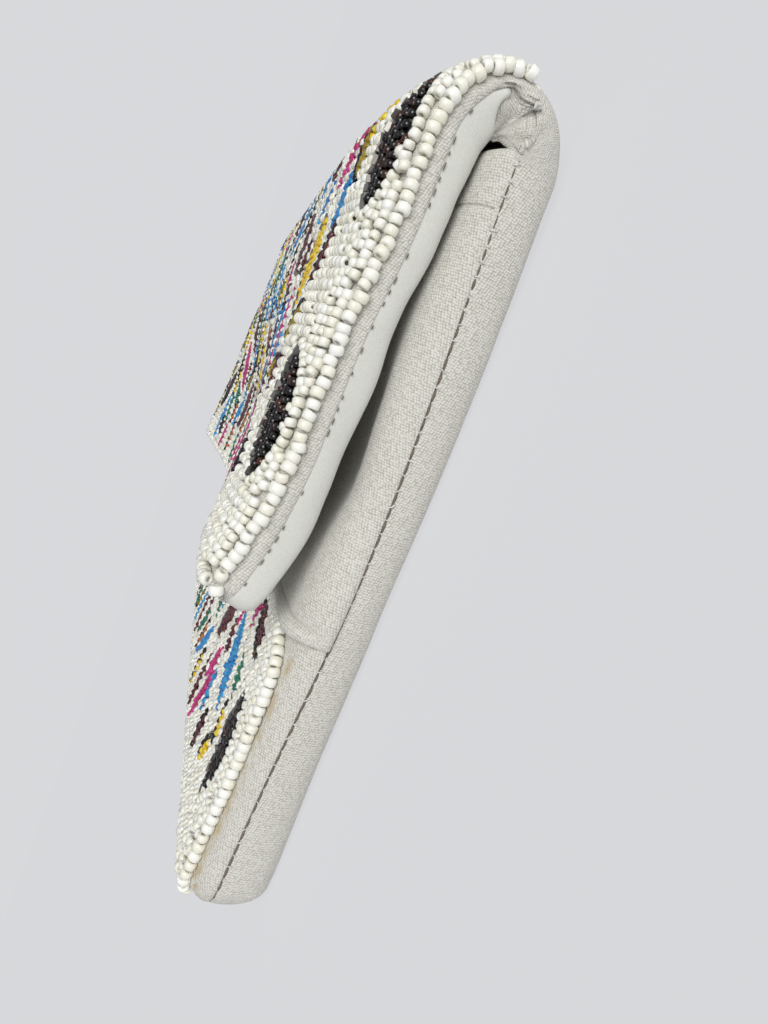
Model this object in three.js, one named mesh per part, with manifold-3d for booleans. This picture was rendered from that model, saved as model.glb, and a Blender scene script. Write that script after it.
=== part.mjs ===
// Fold-over clutch bag of beaded canvas, lying on its back with the flap closed. Millimetres, +Z up.
// X runs across the bag, Y from its bottom edge to the fold, Z from its back to the beads of the flap.
import * as THREE from "three";
import { mergeVertices } from "three/addons/utils/BufferGeometryUtils.js";
import Module from "manifold-3d";

// Outer form
const BAG_WIDTH = 270;
const BODY_HEIGHT = 156; // bottom edge to the mouth edge of the front
const MOUTH_ABOVE_FOLD = 2; // the mouth edge stands this far past the start of the fold
const FOLD_RADIUS = 14; // outer radius of the canvas where the back turns over into the flap
const SEAM_HEIGHT = 9.5; // side seam above the back
const END_RADIUS = 9; // how far the front and back panels curve in at the bag's ends
const BOTTOM_RADIUS = 9; // how far the back curves in along the bottom edge
const FRONT_BOTTOM_RADIUS = 6.5;
const CORNER_RADIUS = 8; // bottom corners seen from the front

// Layers, from the outside in
const CANVAS = 1;
const WADDING = 2;
const LINING = 0.6;
const GAP = 0.3; // between neighbouring layers and pieces

// Front
const LOWER_PANEL_HEIGHT = 59; // bottom edge to the seam between the beaded and the plain canvas
const LOWER_PANEL_STEP = 3; // the beaded canvas lies this far below the plain canvas
const STEP_RADIUS = 4; // the plain canvas curves down to the seam over this length
const WADDING_RAMP = 14; // the layers inside rise over this length instead
const FACING_WIDTH = 11;
const FRONT_PUFF = 5; // rise of the upper front in the middle of its width
const FRONT_DIP = 2; // fall of the front in the middle, round the snap
const WAIST = 1.8; // fall of the plain front at its two ends, where it stands clear of the flap
const WAIST_START = 112; // the waist closes from here
const WAIST_END = 150; // up to here

// Flap
const FLAP_ABOVE_SEAM = 4; // the flap's lower edge ends this far above the seam of the beaded panel
const FLAP_THICKNESS = 7;
const FLAP_CLEARANCE = 2; // between the flap's lining and the upper front, at the ends
const FLAP_INSET = 1; // the flap is this much shorter than the bag at each end
const FLAP_EDGE_RADIUS = 4;
const FLAP_CORNER_RADIUS = 6; // free corners of the flap seen from the front
const FLAP_SEAM_DEPTH = 3; // canvas turned down at the flap's edge, as far as the lining
const FOLD_SEAM_DEPTH = 6.4; // and at the crease of the fold
const FOLD_SEAM_LENGTH = 26; // the seam rises from the crease over this length
const FLAP_PUFF = 5.3; // rise of the flap between its rounded shoulders
const FLAP_SHOULDER = 28; // width of the shoulder at each end
const EDGE_THINNING = 0.35; // share of the rise that is lost at the lower edge
const THINNING_LENGTH = 22;
const FLAP_DIP = 1; // fall of the flap's lower edge in the middle, where the snap holds it
const DIMPLE_SHARE = 0.84; // share of the width that the snap pulls down
const CORNER_LIFT = 5; // the flap's two free corners stand off by this much
const LIFT_LENGTH = 32; // over this length of the flap
const PUFF_ABOVE_SNAP = 2; // the puff of front and flap begins this far above the snap
const PUFF_LENGTH = 50; // and takes this length to reach its full rise

// Beads
const BEAD = 2.4; // height of the couched beads
const ROW_WIDTH = 7.2; // one couched row, three strings wide
const EDGE_BEAD = 2.7; // diameter of the beads of the edge strings
const EDGE_PITCH = 2.4; // spacing along the edge strings
const LEAF_LENGTH = 27;
const LEAF_WIDTH = 11;
const LEAF_TIP = 1.6; // width across the blunt tip of a leaf
const ROW_VALLEY = 0.6; // height between two rows, as a share of a bead
const STRING_NECK = 0.55; // radius between two beads of a string, as a share of a bead's

// Magnetic snap
const SNAP_ABOVE_EDGE = 10; // snap centre to the flap's lower edge
const SNAP_RADIUS = 7;
const SOCKET_HEIGHT = 1.5;
const STUD_HEIGHT = 0.8;
const NUB_RADIUS = 2.6;
const POST_RADIUS = 1.8; // rivet through the cloth
const WASHER_HEIGHT = 0.6;

const HALF = BAG_WIDTH / 2;
const FOLD_START = BODY_HEIGHT - MOUTH_ABOVE_FOLD;
const FOLD_LENGTH = (FOLD_RADIUS * Math.PI) / 2;
const FLAP_TOP = 2 * FOLD_RADIUS; // canvas of the flap above the back, at the ends
const FLAP_EDGE = LOWER_PANEL_HEIGHT + FLAP_ABOVE_SEAM;
const FLAP_LENGTH = FOLD_LENGTH + FOLD_START - FLAP_EDGE;
const FLAP_HALF = HALF - FLAP_INSET;
const SNAP_PLACE = FLAP_EDGE + SNAP_ABOVE_EDGE;
const PUFF_START = SNAP_PLACE + SNAP_RADIUS + PUFF_ABOVE_SNAP;
const UPPER_FRONT = FLAP_TOP - FLAP_THICKNESS - FLAP_CLEARANCE;
const LOWER_FRONT = UPPER_FRONT - LOWER_PANEL_STEP;
const UPPER_START = LOWER_PANEL_HEIGHT + STEP_RADIUS;
const WADDING_DEPTH = CANVAS + GAP;
const LINING_DEPTH = WADDING_DEPTH + WADDING + GAP;
const QUARTER = Math.PI / 2;
const FACET_TOLERANCE = 0.03; // faces that are flat within this are joined after a cut
const LATHE_STEPS = 18;
const { clamp, smoothstep } = THREE.MathUtils;

// Share of the front's puff at x: all of it along the middle of the bag, none at its ends
const puffAt = (x) => 1 - (x / HALF) ** 2;

// Share of the flap's puff at x: all of it but for the shoulder at each end
const pillowAt = (x) => 1 - clamp((Math.abs(x) - HALF + FLAP_SHOULDER) / FLAP_SHOULDER, 0, 1) ** 2;

// Share of the snap's pull on the flap at x
const dimpleAt = (x) => Math.max(1 - (x / (HALF * DIMPLE_SHARE)) ** 2, 0) ** 2;

// Evenly spaced values from one end to the other
const run = (from, to, steps) =>
  Array.from({ length: steps + 1 }, (_, i) => from + ((to - from) * i) / steps);

// Section between two chains of points that run the same way, with the triangles that fill it
function between(top, bottom) {
  const ring = [...top, ...[...bottom].reverse()];
  const under = (j) => ring.length - 1 - j;
  const fill = [];
  let [i, j] = [0, 0];
  while (i + 1 < top.length || j + 1 < bottom.length) {
    const topIsNext = i + 1 < top.length && top[i + 1][0] <= bottom[j + 1]?.[0];
    const advanceTop = topIsNext || j + 1 === bottom.length;
    fill.push(advanceTop ? [i, i + 1, under(j)] : [i, under(j + 1), under(j)]);
    if (advanceTop) {
      i += 1;
    } else {
      j += 1;
    }
  }
  return { ring, fill };
}

// Section of a layer of cloth between two depths
const layer = (along, near, far) =>
  between(
    along.map((b) => [b, near]),
    along.map((b) => [b, far]),
  );

// Section of any simple outline
function outline(ring) {
  const points = ring.map(([u, v]) => new THREE.Vector2(u, v));
  const { area, triangulateShape } = THREE.ShapeUtils;
  const sameWay = (face) => area(face.map((i) => points[i])) * area(points) > 0;
  const fill = triangulateShape(points, []).map((face) => (sameWay(face) ? face : [...face].reverse()));
  return { ring, fill };
}

// Lofts a section through the stations. place(station, u, v) puts each point of the section in space.
// Both ends are closed, and the faces point out whichever way the section runs. Each four-sided face is
// split the same way along u, so that stacked layers stay parallel.
function loft({ ring, fill }, stations, place) {
  const count = ring.length;
  const points = stations.flatMap((station) => ring.map(([u, v]) => place(station, u, v)));
  const last = (stations.length - 1) * count;
  const faces = fill.flatMap(([a, b, c]) => [[c, b, a], [a + last, b + last, c + last]]);
  for (let start = 0; start < last; start += count) {
    ring.forEach((_, i) => {
      const next = (i + 1) % count;
      const [a, b, c, d] = [start + i, start + next, start + count + next, start + count + i];
      const forward = ring[next][0] >= ring[i][0];
      faces.push(...(forward ? [[a, b, c], [a, c, d]] : [[a, b, d], [b, c, d]]));
    });
  }
  const outward = volumeOf(points, faces) > 0 ? faces : faces.map((face) => [...face].reverse());
  return new THREE.BufferGeometry().setFromPoints(points).setIndex(outward.flat());
}

function volumeOf(points, faces) {
  const cross = new THREE.Vector3();
  const wedge = ([a, b, c]) => cross.crossVectors(points[a], points[b]).dot(points[c]) / 6;
  return faces.reduce((sum, face) => sum + wedge(face), 0);
}

// Lowers the points of a surface square to it. facing is 1 or -1, for the side its slopes turn out to.
function sinker(surface, facing, uLimits, vLimits) {
  const step = 1e-3;
  return (u, v, depth) => {
    const at = (du, dv) => surface(clamp(u + du, ...uLimits), clamp(v + dv, ...vLimits));
    const alongU = at(step, 0).sub(at(-step, 0));
    const alongV = at(0, step).sub(at(0, -step));
    const normal = alongU.cross(alongV).normalize();
    return surface(u, v).addScaledVector(normal, -facing * depth);
  };
}

// Across a panel: |a| up to 1 is its face, and from 1 to 2 it turns round the edge
function across(a, half, radius) {
  const angle = Math.max(Math.abs(a) - 1, 0) * QUARTER;
  const face = Math.min(Math.abs(a), 1) * (half - radius);
  return { x: Math.sign(a) * (face + radius * Math.sin(angle)), turn: 1 - Math.cos(angle) };
}

// Half width of the body at a height: rounded at the bottom corners
function halfAt(y) {
  const inside = clamp(1 - y / CORNER_RADIUS, 0, 1);
  return HALF - CORNER_RADIUS * (1 - Math.sqrt(1 - inside ** 2));
}

// Back panel: b from -1 at the bottom seam, over the face from 0 to 1, to 2 at the crease of the fold
function backSurface(a, b) {
  if (b < 0) {
    const y = BOTTOM_RADIUS * (1 - Math.sin(-b * QUARTER));
    const { x, turn } = across(a, halfAt(y), END_RADIUS);
    return new THREE.Vector3(x, y, SEAM_HEIGHT * (1 - Math.cos(b * QUARTER) * (1 - turn)));
  }
  const { x, turn } = across(a, HALF, END_RADIUS);
  const round = Math.max(b - 1, 0);
  const face = BOTTOM_RADIUS + Math.min(b, 1) * (FOLD_START - BOTTOM_RADIUS);
  const seamDepth = SEAM_HEIGHT + (FOLD_SEAM_DEPTH - SEAM_HEIGHT) * round;
  const radius = FOLD_RADIUS - seamDepth * turn;
  const [sin, cos] = [Math.sin(round * QUARTER), Math.cos(round * QUARTER)];
  return new THREE.Vector3(x, face + radius * sin, FOLD_RADIUS - radius * cos);
}

// Height of the front above its flat form: it dips round the snap, puffs out above it in the middle
// and has a waist at its ends
function frontForm(x, y) {
  const puff = (FRONT_PUFF + FRONT_DIP) * smoothstep(y, PUFF_START, PUFF_START + PUFF_LENGTH);
  const middle = puff - FRONT_DIP * smoothstep(y, 0, LOWER_PANEL_HEIGHT);
  const opened = smoothstep(y, LOWER_PANEL_HEIGHT, UPPER_START);
  const waist = WAIST * opened * (1 - smoothstep(y, WAIST_START, WAIST_END));
  return middle * puffAt(x) - waist * (1 - puffAt(x));
}

// Front: b from 0 at the bottom seam to 1, over the beaded panel to 2, round the step of the plain canvas
// to 3 and up to the mouth at 4. The layers inside rise by a ramp instead of the step.
function frontPanel(inside) {
  return (a, b) => {
    const rounding = QUARTER * Math.min(b, 1);
    const step = QUARTER * clamp(b - 2, 0, 1);
    const y =
      FRONT_BOTTOM_RADIUS * (1 - Math.cos(rounding)) +
      (LOWER_PANEL_HEIGHT - FRONT_BOTTOM_RADIUS) * clamp(b - 1, 0, 1) +
      STEP_RADIUS * (1 - Math.cos(step)) +
      (BODY_HEIGHT - UPPER_START) * Math.max(b - 3, 0);
    const ramp = smoothstep(y, LOWER_PANEL_HEIGHT, LOWER_PANEL_HEIGHT + WADDING_RAMP);
    const { x, turn } = across(a, halfAt(y), END_RADIUS);
    const height = LOWER_FRONT + LOWER_PANEL_STEP * (inside ? ramp : Math.sin(step)) + frontForm(x, y);
    return new THREE.Vector3(x, y, SEAM_HEIGHT + (height - SEAM_HEIGHT) * Math.sin(rounding) * (1 - turn));
  };
}
const perMm = 1 / (BODY_HEIGHT - UPPER_START);
const upperB = (y) => 3 + (y - UPPER_START) * perMm;

// Top of the flap's canvas before its edges turn down, at x and at distance s from the crease
function flapSurface(x, s) {
  const angle = Math.min(s / FOLD_RADIUS, QUARTER);
  const y = FOLD_START + FOLD_RADIUS * Math.cos(angle) - Math.max(s - FOLD_LENGTH, 0);
  const thinning = EDGE_THINNING * (1 - smoothstep(y, FLAP_EDGE, FLAP_EDGE + THINNING_LENGTH));
  const rise = FLAP_PUFF * (1 - thinning);
  const pull = (rise + FLAP_DIP) * (1 - smoothstep(y, PUFF_START, PUFF_START + PUFF_LENGTH));
  const lift = CORNER_LIFT * (Math.max(FLAP_EDGE + LIFT_LENGTH - y, 0) / LIFT_LENGTH) ** 2;
  const arch = FOLD_RADIUS + (FOLD_RADIUS + rise * pillowAt(x)) * Math.sin(angle);
  return new THREE.Vector3(x, y, arch - pull * dimpleAt(x) + lift * (1 - puffAt(x)));
}
const sinkFlap = sinker(flapSurface, -1, [-HALF, HALF], [0, FLAP_LENGTH]);

// Half width of the flap at distance s from the crease: rounded at the free corners
function flapHalfAt(s) {
  const inside = clamp(1 - (FLAP_LENGTH - s) / FLAP_CORNER_RADIUS, 0, 1);
  return FLAP_HALF - FLAP_CORNER_RADIUS * (1 - Math.sqrt(1 - inside ** 2));
}

// Depth of the seam of the flap's edge
function flapSeamAt(s) {
  return FOLD_SEAM_DEPTH + (FLAP_SEAM_DEPTH - FOLD_SEAM_DEPTH) * smoothstep(s, 0, FOLD_SEAM_LENGTH);
}

// Canvas or lining of the flap: b from 0 at the crease to 1, then round the lower edge to 2. The canvas
// turns down and the lining up, until they meet at the seam of the flap's edge.
function flapShell(depth, belowSeam) {
  return (a, b) => {
    const tip = across(b, FLAP_LENGTH, FLAP_EDGE_RADIUS);
    const end = across(a, flapHalfAt(tip.x), FLAP_EDGE_RADIUS);
    const turn = 1 - (1 - end.turn) * (1 - tip.turn);
    return sinkFlap(end.x, tip.x, depth + (flapSeamAt(tip.x) + belowSeam - depth) * turn);
  };
}

const EDGE = [-2, 2];
const sinkBack = sinker(backSurface, -1, EDGE, [-1, 2]);
const sinkFront = sinker(frontPanel(false), 1, EDGE, [0, 4]);
const sinkCore = sinker(frontPanel(true), 1, EDGE, [0, 4]);
const sinkFlapCanvas = sinker(flapShell(0, 0), -1, EDGE, [0, 2]);
const sinkFlapLining = sinker(flapShell(FLAP_THICKNESS, GAP), 1, EDGE, [0, 2]);

// Stations across the panels. Every layer of a panel shares them, which keeps the layers apart.
const SLIT = 0.02; // share of a rounding left open at a seam
const bend = [1.33, 1.67, 2 - SLIT];
const acrossFace = (steps) => run(-1, 1, steps);
const withEnds = (face, turns) => [...[...turns].reverse().map((a) => -a), ...face, ...turns];
const backAcross = withEnds([-1, 1], bend);
const frontAcross = withEnds(acrossFace(6), bend);
const flapFieldHalf = FLAP_HALF - FLAP_EDGE_RADIUS;
const shoulder = (HALF - FLAP_SHOULDER) / flapFieldHalf;
const flapFaceAcross = withEnds(run(-shoulder, shoulder, 8), [(1 + shoulder) / 2, 1]);
const flapAcross = withEnds(flapFaceAcross, bend);
const padded = bend.slice(0, 1);
const liningBend = [1.4, 1.8];

// Stations along the panels
const creaseSlit = GAP / 2 / FOLD_LENGTH;
const backAlong = [...run(SLIT - 1, 0, 4), ...run(1, 2 - creaseSlit, 5)];
const facingStart = upperB(BODY_HEIGHT - FACING_WIDTH);
const lowerFace = LOWER_PANEL_HEIGHT - FRONT_BOTTOM_RADIUS;
const lowerAlong = [...run(2 * SLIT, 1, 3), 1.25, 1.5, 1.75, 2 - GAP / lowerFace];
const upperAlong = run(3, facingStart - GAP * perMm, 6);
const flapFace = FLAP_LENGTH - FLAP_EDGE_RADIUS;
const flapFold = [GAP / 2, ...run(0, FOLD_LENGTH, 5).slice(1)];
const flapAlong = [...flapFold, ...run(FOLD_LENGTH, flapFace, 9).slice(1)];
const flapShellAlong = [...flapAlong.map((s) => s / flapFace), ...bend];

const wasm = await Module();
wasm.setup();

function manifoldOf(geometry) {
  const bare = new THREE.BufferGeometry().setAttribute("position", geometry.getAttribute("position"));
  const merged = mergeVertices(bare.setIndex(geometry.index), 1e-4);
  const mesh = new wasm.Mesh({
    numProp: 3,
    vertProperties: new Float32Array(merged.getAttribute("position").array),
    triVerts: new Uint32Array(merged.index.array),
  });
  mesh.merge();
  return new wasm.Manifold(mesh);
}

function cut(geometry, cutters) {
  const tool = cutters.map(manifoldOf).reduce((sum, next) => sum.add(next));
  const rest = manifoldOf(geometry).subtract(tool).simplify(FACET_TOLERANCE);
  const { numProp, vertProperties, triVerts } = rest.getMesh();
  const made = new THREE.BufferGeometry();
  made.setAttribute("position", new THREE.BufferAttribute(new Float32Array(vertProperties), numProp));
  return made.setIndex([...triVerts]);
}

const CANVAS_WHITE = "#eeeae0";
const LINING_WHITE = "#f2f0ea";
const WADDING_WHITE = "#f4f2ec";
const BEAD_WHITE = "#f3efe4";
const STEEL = "#b9b4a6";
const LEAF_COLOURS = {
  black: "#1b1512",
  yellow: "#d9a514",
  maroon: "#5c1420",
  blue: "#1a78b8",
  magenta: "#a3175e",
  green: "#0f6a52",
};

const bag = new THREE.Group();
bag.name = "bag";
const flap = new THREE.Group();
flap.name = "flap";
bag.add(flap);

function add(parent, name, geometry, color, roughness = 0.85, metalness = 0) {
  const facets = geometry.toNonIndexed();
  facets.computeVertexNormals();
  const mesh = new THREE.Mesh(facets, new THREE.MeshStandardMaterial({ color, roughness, metalness }));
  mesh.name = name;
  parent.add(mesh);
}

// Snap: a socket on the front and a stud on the flap's lining, each riveted through the cloth to a washer.
// Profiles give a radius and a height above the cloth.
function turned(profile, seat) {
  const lathe = new THREE.LatheGeometry(profile.map(([r, h]) => new THREE.Vector2(r, h)), LATHE_STEPS);
  lathe.applyQuaternion(new THREE.Quaternion().setFromUnitVectors(new THREE.Vector3(0, 1, 0), seat.axis));
  return lathe.translate(...seat.point);
}
function seatOn(sink, u, v, depth) {
  const point = sink(u, v, depth);
  return { point, axis: point.clone().sub(sink(u, v, depth + 1)).normalize() };
}
const disc = (radius, low, high) => [[0, low], [radius, low], [radius, high], [0, high]];
const frontSeat = seatOn(sinkFront, 0, upperB(SNAP_PLACE), 0);
const flapSeat = seatOn(sinkFlapLining, 0, (FLAP_LENGTH - SNAP_ABOVE_EDGE) / flapFace, 0);
const socketWasher = -LINING_DEPTH + GAP + WASHER_HEIGHT;
const studWasher = -LINING - GAP;
const nubSpace = NUB_RADIUS + GAP;
const nubLength = SOCKET_HEIGHT / 3;
const socketProfile = [
  [0, socketWasher + GAP],
  [POST_RADIUS, socketWasher + GAP],
  [POST_RADIUS, GAP],
  [SNAP_RADIUS, GAP],
  [SNAP_RADIUS, GAP + SOCKET_HEIGHT * 0.6],
  [SNAP_RADIUS * 0.92, GAP + SOCKET_HEIGHT],
  [nubSpace, GAP + SOCKET_HEIGHT],
  [nubSpace, GAP + SOCKET_HEIGHT / 3],
  [0, GAP + SOCKET_HEIGHT / 3],
];
const studProfile = [
  [0, studWasher + GAP],
  [POST_RADIUS, studWasher + GAP],
  [POST_RADIUS, GAP],
  [SNAP_RADIUS, GAP],
  [SNAP_RADIUS * 0.95, GAP + STUD_HEIGHT],
  [NUB_RADIUS, GAP + STUD_HEIGHT],
  [NUB_RADIUS * 0.9, GAP + STUD_HEIGHT + nubLength],
  [0, GAP + STUD_HEIGHT + nubLength],
];
const postHole = (seat, depth) => turned(disc(POST_RADIUS + GAP, -depth, CANVAS), seat);
const washerSpace = (seat, low, high) => turned(disc(SNAP_RADIUS + GAP, low - GAP, high + GAP), seat);

// Body
const backPad = [...run(-0.5, 0, 2), ...run(1, 2 - creaseSlit, 5)];
add(bag, "back_canvas", loft(layer(backAlong, 0, CANVAS), backAcross, sinkBack), CANVAS_WHITE);
const backWadding = layer(backPad, WADDING_DEPTH, WADDING_DEPTH + WADDING);
add(bag, "back_wadding", loft(backWadding, withEnds([-1, 1], padded), sinkBack), WADDING_WHITE);
const backLining = layer([-0.8, ...backAlong.slice(2)], LINING_DEPTH, LINING_DEPTH + LINING);
add(bag, "back_lining", loft(backLining, withEnds([-1, 1], liningBend), sinkBack), LINING_WHITE);

add(bag, "lower_front_canvas", loft(layer(lowerAlong, 0, CANVAS), frontAcross, sinkFront), CANVAS_WHITE);
const upperCanvas = loft(layer([2, 2.33, 2.67, ...upperAlong], 0, CANVAS), frontAcross, sinkFront);
add(bag, "upper_front_canvas", cut(upperCanvas, [postHole(frontSeat, LINING_DEPTH)]), CANVAS_WHITE);

// The facing is folded over the mouth edge, with one leg outside and one inside
const facingTop = 4 - CANVAS * perMm;
const facingInside = LINING_DEPTH + LINING;
const mouthFacing = outline([
  [facingStart, 0],
  [facingTop, 0],
  [4, facingInside / 2],
  [facingTop, facingInside],
  [facingStart, facingInside],
  [facingStart, LINING_DEPTH],
  [facingTop, LINING_DEPTH],
  [facingTop, CANVAS],
  [facingStart, CANVAS],
]);
add(bag, "mouth_facing", loft(mouthFacing, frontAcross, sinkFront), CANVAS_WHITE);

const coreAlong = [1, 1.25, 1.5, 1.75, 2, 2.5, ...upperAlong];
const frontPad = [0.6, ...coreAlong, facingTop - GAP * perMm];
const frontWadding = loft(
  layer(frontPad, WADDING_DEPTH, WADDING_DEPTH + WADDING),
  withEnds(acrossFace(6), padded),
  sinkCore,
);
const socketSpace = washerSpace(frontSeat, -LINING_DEPTH - WADDING, socketWasher);
const socketCuts = [postHole(frontSeat, LINING_DEPTH), socketSpace];
add(bag, "front_wadding", cut(frontWadding, socketCuts), WADDING_WHITE);
const frontLining = layer([0.35, 0.67, ...coreAlong], LINING_DEPTH, LINING_DEPTH + LINING);
add(bag, "front_lining", loft(frontLining, withEnds(acrossFace(6), liningBend), sinkCore), LINING_WHITE);
add(bag, "snap_socket", turned(socketProfile, frontSeat), STEEL, 0.3, 1);
const socketDisc = disc(SNAP_RADIUS, socketWasher - WASHER_HEIGHT, socketWasher);
add(bag, "snap_socket_washer", turned(socketDisc, frontSeat), STEEL, 0.4, 1);

// Flap
add(flap, "flap_canvas", loft(layer(flapShellAlong, 0, CANVAS), flapAcross, sinkFlapCanvas), CANVAS_WHITE);
const flapFieldAcross = flapFaceAcross.map((a) => a * flapFieldHalf);
const flapPad = layer(flapAlong, WADDING_DEPTH, FLAP_THICKNESS - LINING - GAP);
const studSpace = washerSpace(flapSeat, studWasher - WASHER_HEIGHT, 0);
add(flap, "flap_wadding", cut(loft(flapPad, flapFieldAcross, sinkFlap), [studSpace]), WADDING_WHITE);
const flapLining = loft(layer(flapShellAlong, 0, LINING), flapAcross, sinkFlapLining);
add(flap, "flap_lining", cut(flapLining, [postHole(flapSeat, LINING + CANVAS)]), LINING_WHITE);
add(flap, "snap_stud", turned(studProfile, flapSeat), STEEL, 0.3, 1);
const studDisc = disc(SNAP_RADIUS, studWasher - WASHER_HEIGHT, studWasher);
add(flap, "snap_stud_washer", turned(studDisc, flapSeat), STEEL, 0.4, 1);

// Leaf outline: p runs along it and q across it, each from -1 to 1
function leafPoint(leaf, p, q, grow) {
  const along = (LEAF_LENGTH / 2 + grow) * p;
  const wide = ((LEAF_WIDTH / 2) * (1 - p * p) + LEAF_TIP / 2 + grow) * q;
  const [cos, sin] = [Math.cos(leaf.angle), Math.sin(leaf.angle)];
  return [leaf.x + along * cos - wide * sin, leaf.s + along * sin + wide * cos];
}

// A leaf of the given section on a beaded surface. Section heights are shares of a bead's height.
function leafSolid(leaf, section, grow, sink) {
  return loft(section, run(-1, 1, 6), (p, q, height) => {
    const [x, s] = leafPoint(leaf, p, q, grow);
    return sink(x, s, -GAP - height * BEAD);
  });
}
const domed = between([[-1, 0.8], [0, 1], [1, 0.8]], [[-1, 0], [1, 0]]);
const opening = between([[-1, 1.8], [1, 1.8]], [[-1, -0.5], [1, -0.5]]);

// Couched rows of beads, a ridge to each row
function beadRows(from, to, under) {
  const rows = Math.round((to - from) / ROW_WIDTH);
  const ridges = run(from, to, 2 * rows).map((s, i) => [s, -GAP - BEAD * (i % 2 ? 1 : ROW_VALLEY)]);
  return between(
    ridges,
    under.map((s) => [s, -GAP]),
  );
}

// The ground of rows has an opening for each leaf
function beadField(parent, name, ground, leaves, sink) {
  const openings = leaves.map((leaf) => leafSolid(leaf, opening, GAP, sink));
  add(parent, `${name}_bead_rows`, cut(ground, openings), BEAD_WHITE, 0.35);
  leaves.forEach((leaf, i) => {
    add(parent, `${name}_leaf_${i + 1}`, leafSolid(leaf, domed, 0, sink), LEAF_COLOURS[leaf.colour], 0.25);
  });
}

// Leaves stand in columns. Each column gives its share of the half width, then the share of the field's
// length, the slant and the colour of each leaf.
function leavesOf(columns, half, from, to) {
  const leafAt = (share, [place, angle, colour]) => {
    return { x: share * half, s: from + place * (to - from), angle, colour };
  };
  return columns.flatMap(([share, ...leaves]) => leaves.map((leaf) => leafAt(share, leaf)));
}
const flapColumns = [
  [-0.94, [0.22, 1.5, "black"], [0.74, 1.72, "maroon"]],
  [-0.7, [0.32, 0.8, "blue"], [0.8, 2.35, "black"]],
  [-0.43, [0.24, 2.3, "yellow"], [0.68, 0.8, "magenta"]],
  [-0.14, [0.34, 0.8, "green"], [0.8, 2.3, "maroon"]],
  [0.15, [0.24, 2.3, "blue"], [0.68, 0.8, "yellow"]],
  [0.44, [0.34, 0.8, "maroon"], [0.8, 2.3, "blue"]],
  [0.71, [0.42, 1.15, "yellow"], [0.82, 0.75, "magenta"]],
  [0.94, [0.22, 1.64, "black"], [0.72, 1.5, "black"]],
];
const frontColumns = [
  [-0.93, [0.5, 1.8, "black"]],
  [-0.66, [0.5, 0.8, "yellow"]],
  [-0.38, [0.5, 2.3, "blue"]],
  [-0.12, [0.5, 0.8, "magenta"]],
  [0.14, [0.5, 2.3, "green"]],
  [0.4, [0.5, 0.8, "maroon"]],
  [0.67, [0.5, 2.3, "blue"]],
  [0.93, [0.4, 1.45, "black"]],
];

const flapField = [EDGE_BEAD / 2, flapFace];
const flapUnder = [flapField[0], ...flapAlong.filter((s) => s > flapField[0])];
const flapGround = loft(beadRows(...flapField, flapUnder), flapFieldAcross, sinkFlap);
beadField(flap, "flap", flapGround, leavesOf(flapColumns, flapFieldHalf, ...flapField), sinkFlap);

// Beaded panel of the front, by x and by height above the bottom edge
function sinkLowerFront(x, y, depth) {
  const face = halfAt(y) - END_RADIUS;
  const over = Math.asin(clamp((Math.abs(x) - face) / END_RADIUS, 0, 1)) / QUARTER;
  const a = over > 0 ? Math.sign(x) * (1 + over) : x / face;
  return sinkFront(a, 1 + (y - FRONT_BOTTOM_RADIUS) / lowerFace, depth);
}
const frontFieldHalf = HALF - END_RADIUS;
const frontField = [FRONT_BOTTOM_RADIUS, LOWER_PANEL_HEIGHT - GAP];
const frontUnder = lowerAlong.filter((b) => b >= 1).map((b) => FRONT_BOTTOM_RADIUS + (b - 1) * lowerFace);
const frontGround = loft(
  beadRows(...frontField, [...frontUnder.slice(0, -1), frontField[1]]),
  acrossFace(6).map((a) => a * frontFieldHalf),
  sinkLowerFront,
);
beadField(bag, "front", frontGround, leavesOf(frontColumns, frontFieldHalf, ...frontField), sinkLowerFront);

// One string of beads: narrow between two beads and full at the middle of each. at(t, depth) gives a
// point of the string's path lowered by depth, with t from 0 to 1.
function beadString(length, at) {
  const beads = Math.round(length / EDGE_PITCH);
  const stations = run(0, beads, 2 * beads).map((bead) => ({
    t: bead / beads,
    radius: (EDGE_BEAD / 2) * (bead % 1 === 0 ? STRING_NECK : 1),
  }));
  const square = outline([[1, 0], [0, 1], [-1, 0], [0, -1]]);
  return loft(square, stations, ({ t, radius }, u, v) => {
    const middle = at(t, 0);
    const up = at(t, -1).sub(middle);
    const side = new THREE.Vector3().crossVectors(at(t + 1e-3, 0).sub(middle).normalize(), up);
    return middle.addScaledVector(side, u * radius).addScaledVector(up, v * radius);
  });
}

// The strings lie on the turn of each end, just outside the rows
const stringTurn = 1.3;
const stringDepth = -GAP - EDGE_BEAD / 2;
const stringStart = EDGE_BEAD / 2 / flapFace;
for (const [side, sign] of [["left", -1], ["right", 1]]) {
  const flapString = beadString(flapFace, (t, depth) =>
    sinkFlapCanvas(sign * stringTurn, stringStart + t * (1 - stringStart), stringDepth + depth),
  );
  add(flap, `flap_bead_string_${side}`, flapString, BEAD_WHITE, 0.3);
  const frontString = beadString(lowerFace, (t, depth) =>
    sinkFront(sign * stringTurn, 1 + t * (1 - GAP / lowerFace), stringDepth + depth),
  );
  add(bag, `front_bead_string_${side}`, frontString, BEAD_WHITE, 0.3);
}

// The origin lies under the middle of the whole bag
const overall = new THREE.Box3().setFromObject(bag, true);
bag.position.y = -(overall.min.y + overall.max.y) / 2;
const object = new THREE.Group();
object.name = "clutch_bag";
object.add(bag);

export default object;
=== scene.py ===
"""Fold-over clutch bag of beaded canvas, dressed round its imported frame."""
import logging
import math
from dataclasses import dataclass
from enum import Enum
from typing import Callable, Iterable, Sequence

import bmesh
import bpy
import numpy as np
from mathutils import Matrix, Vector, noise


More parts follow.
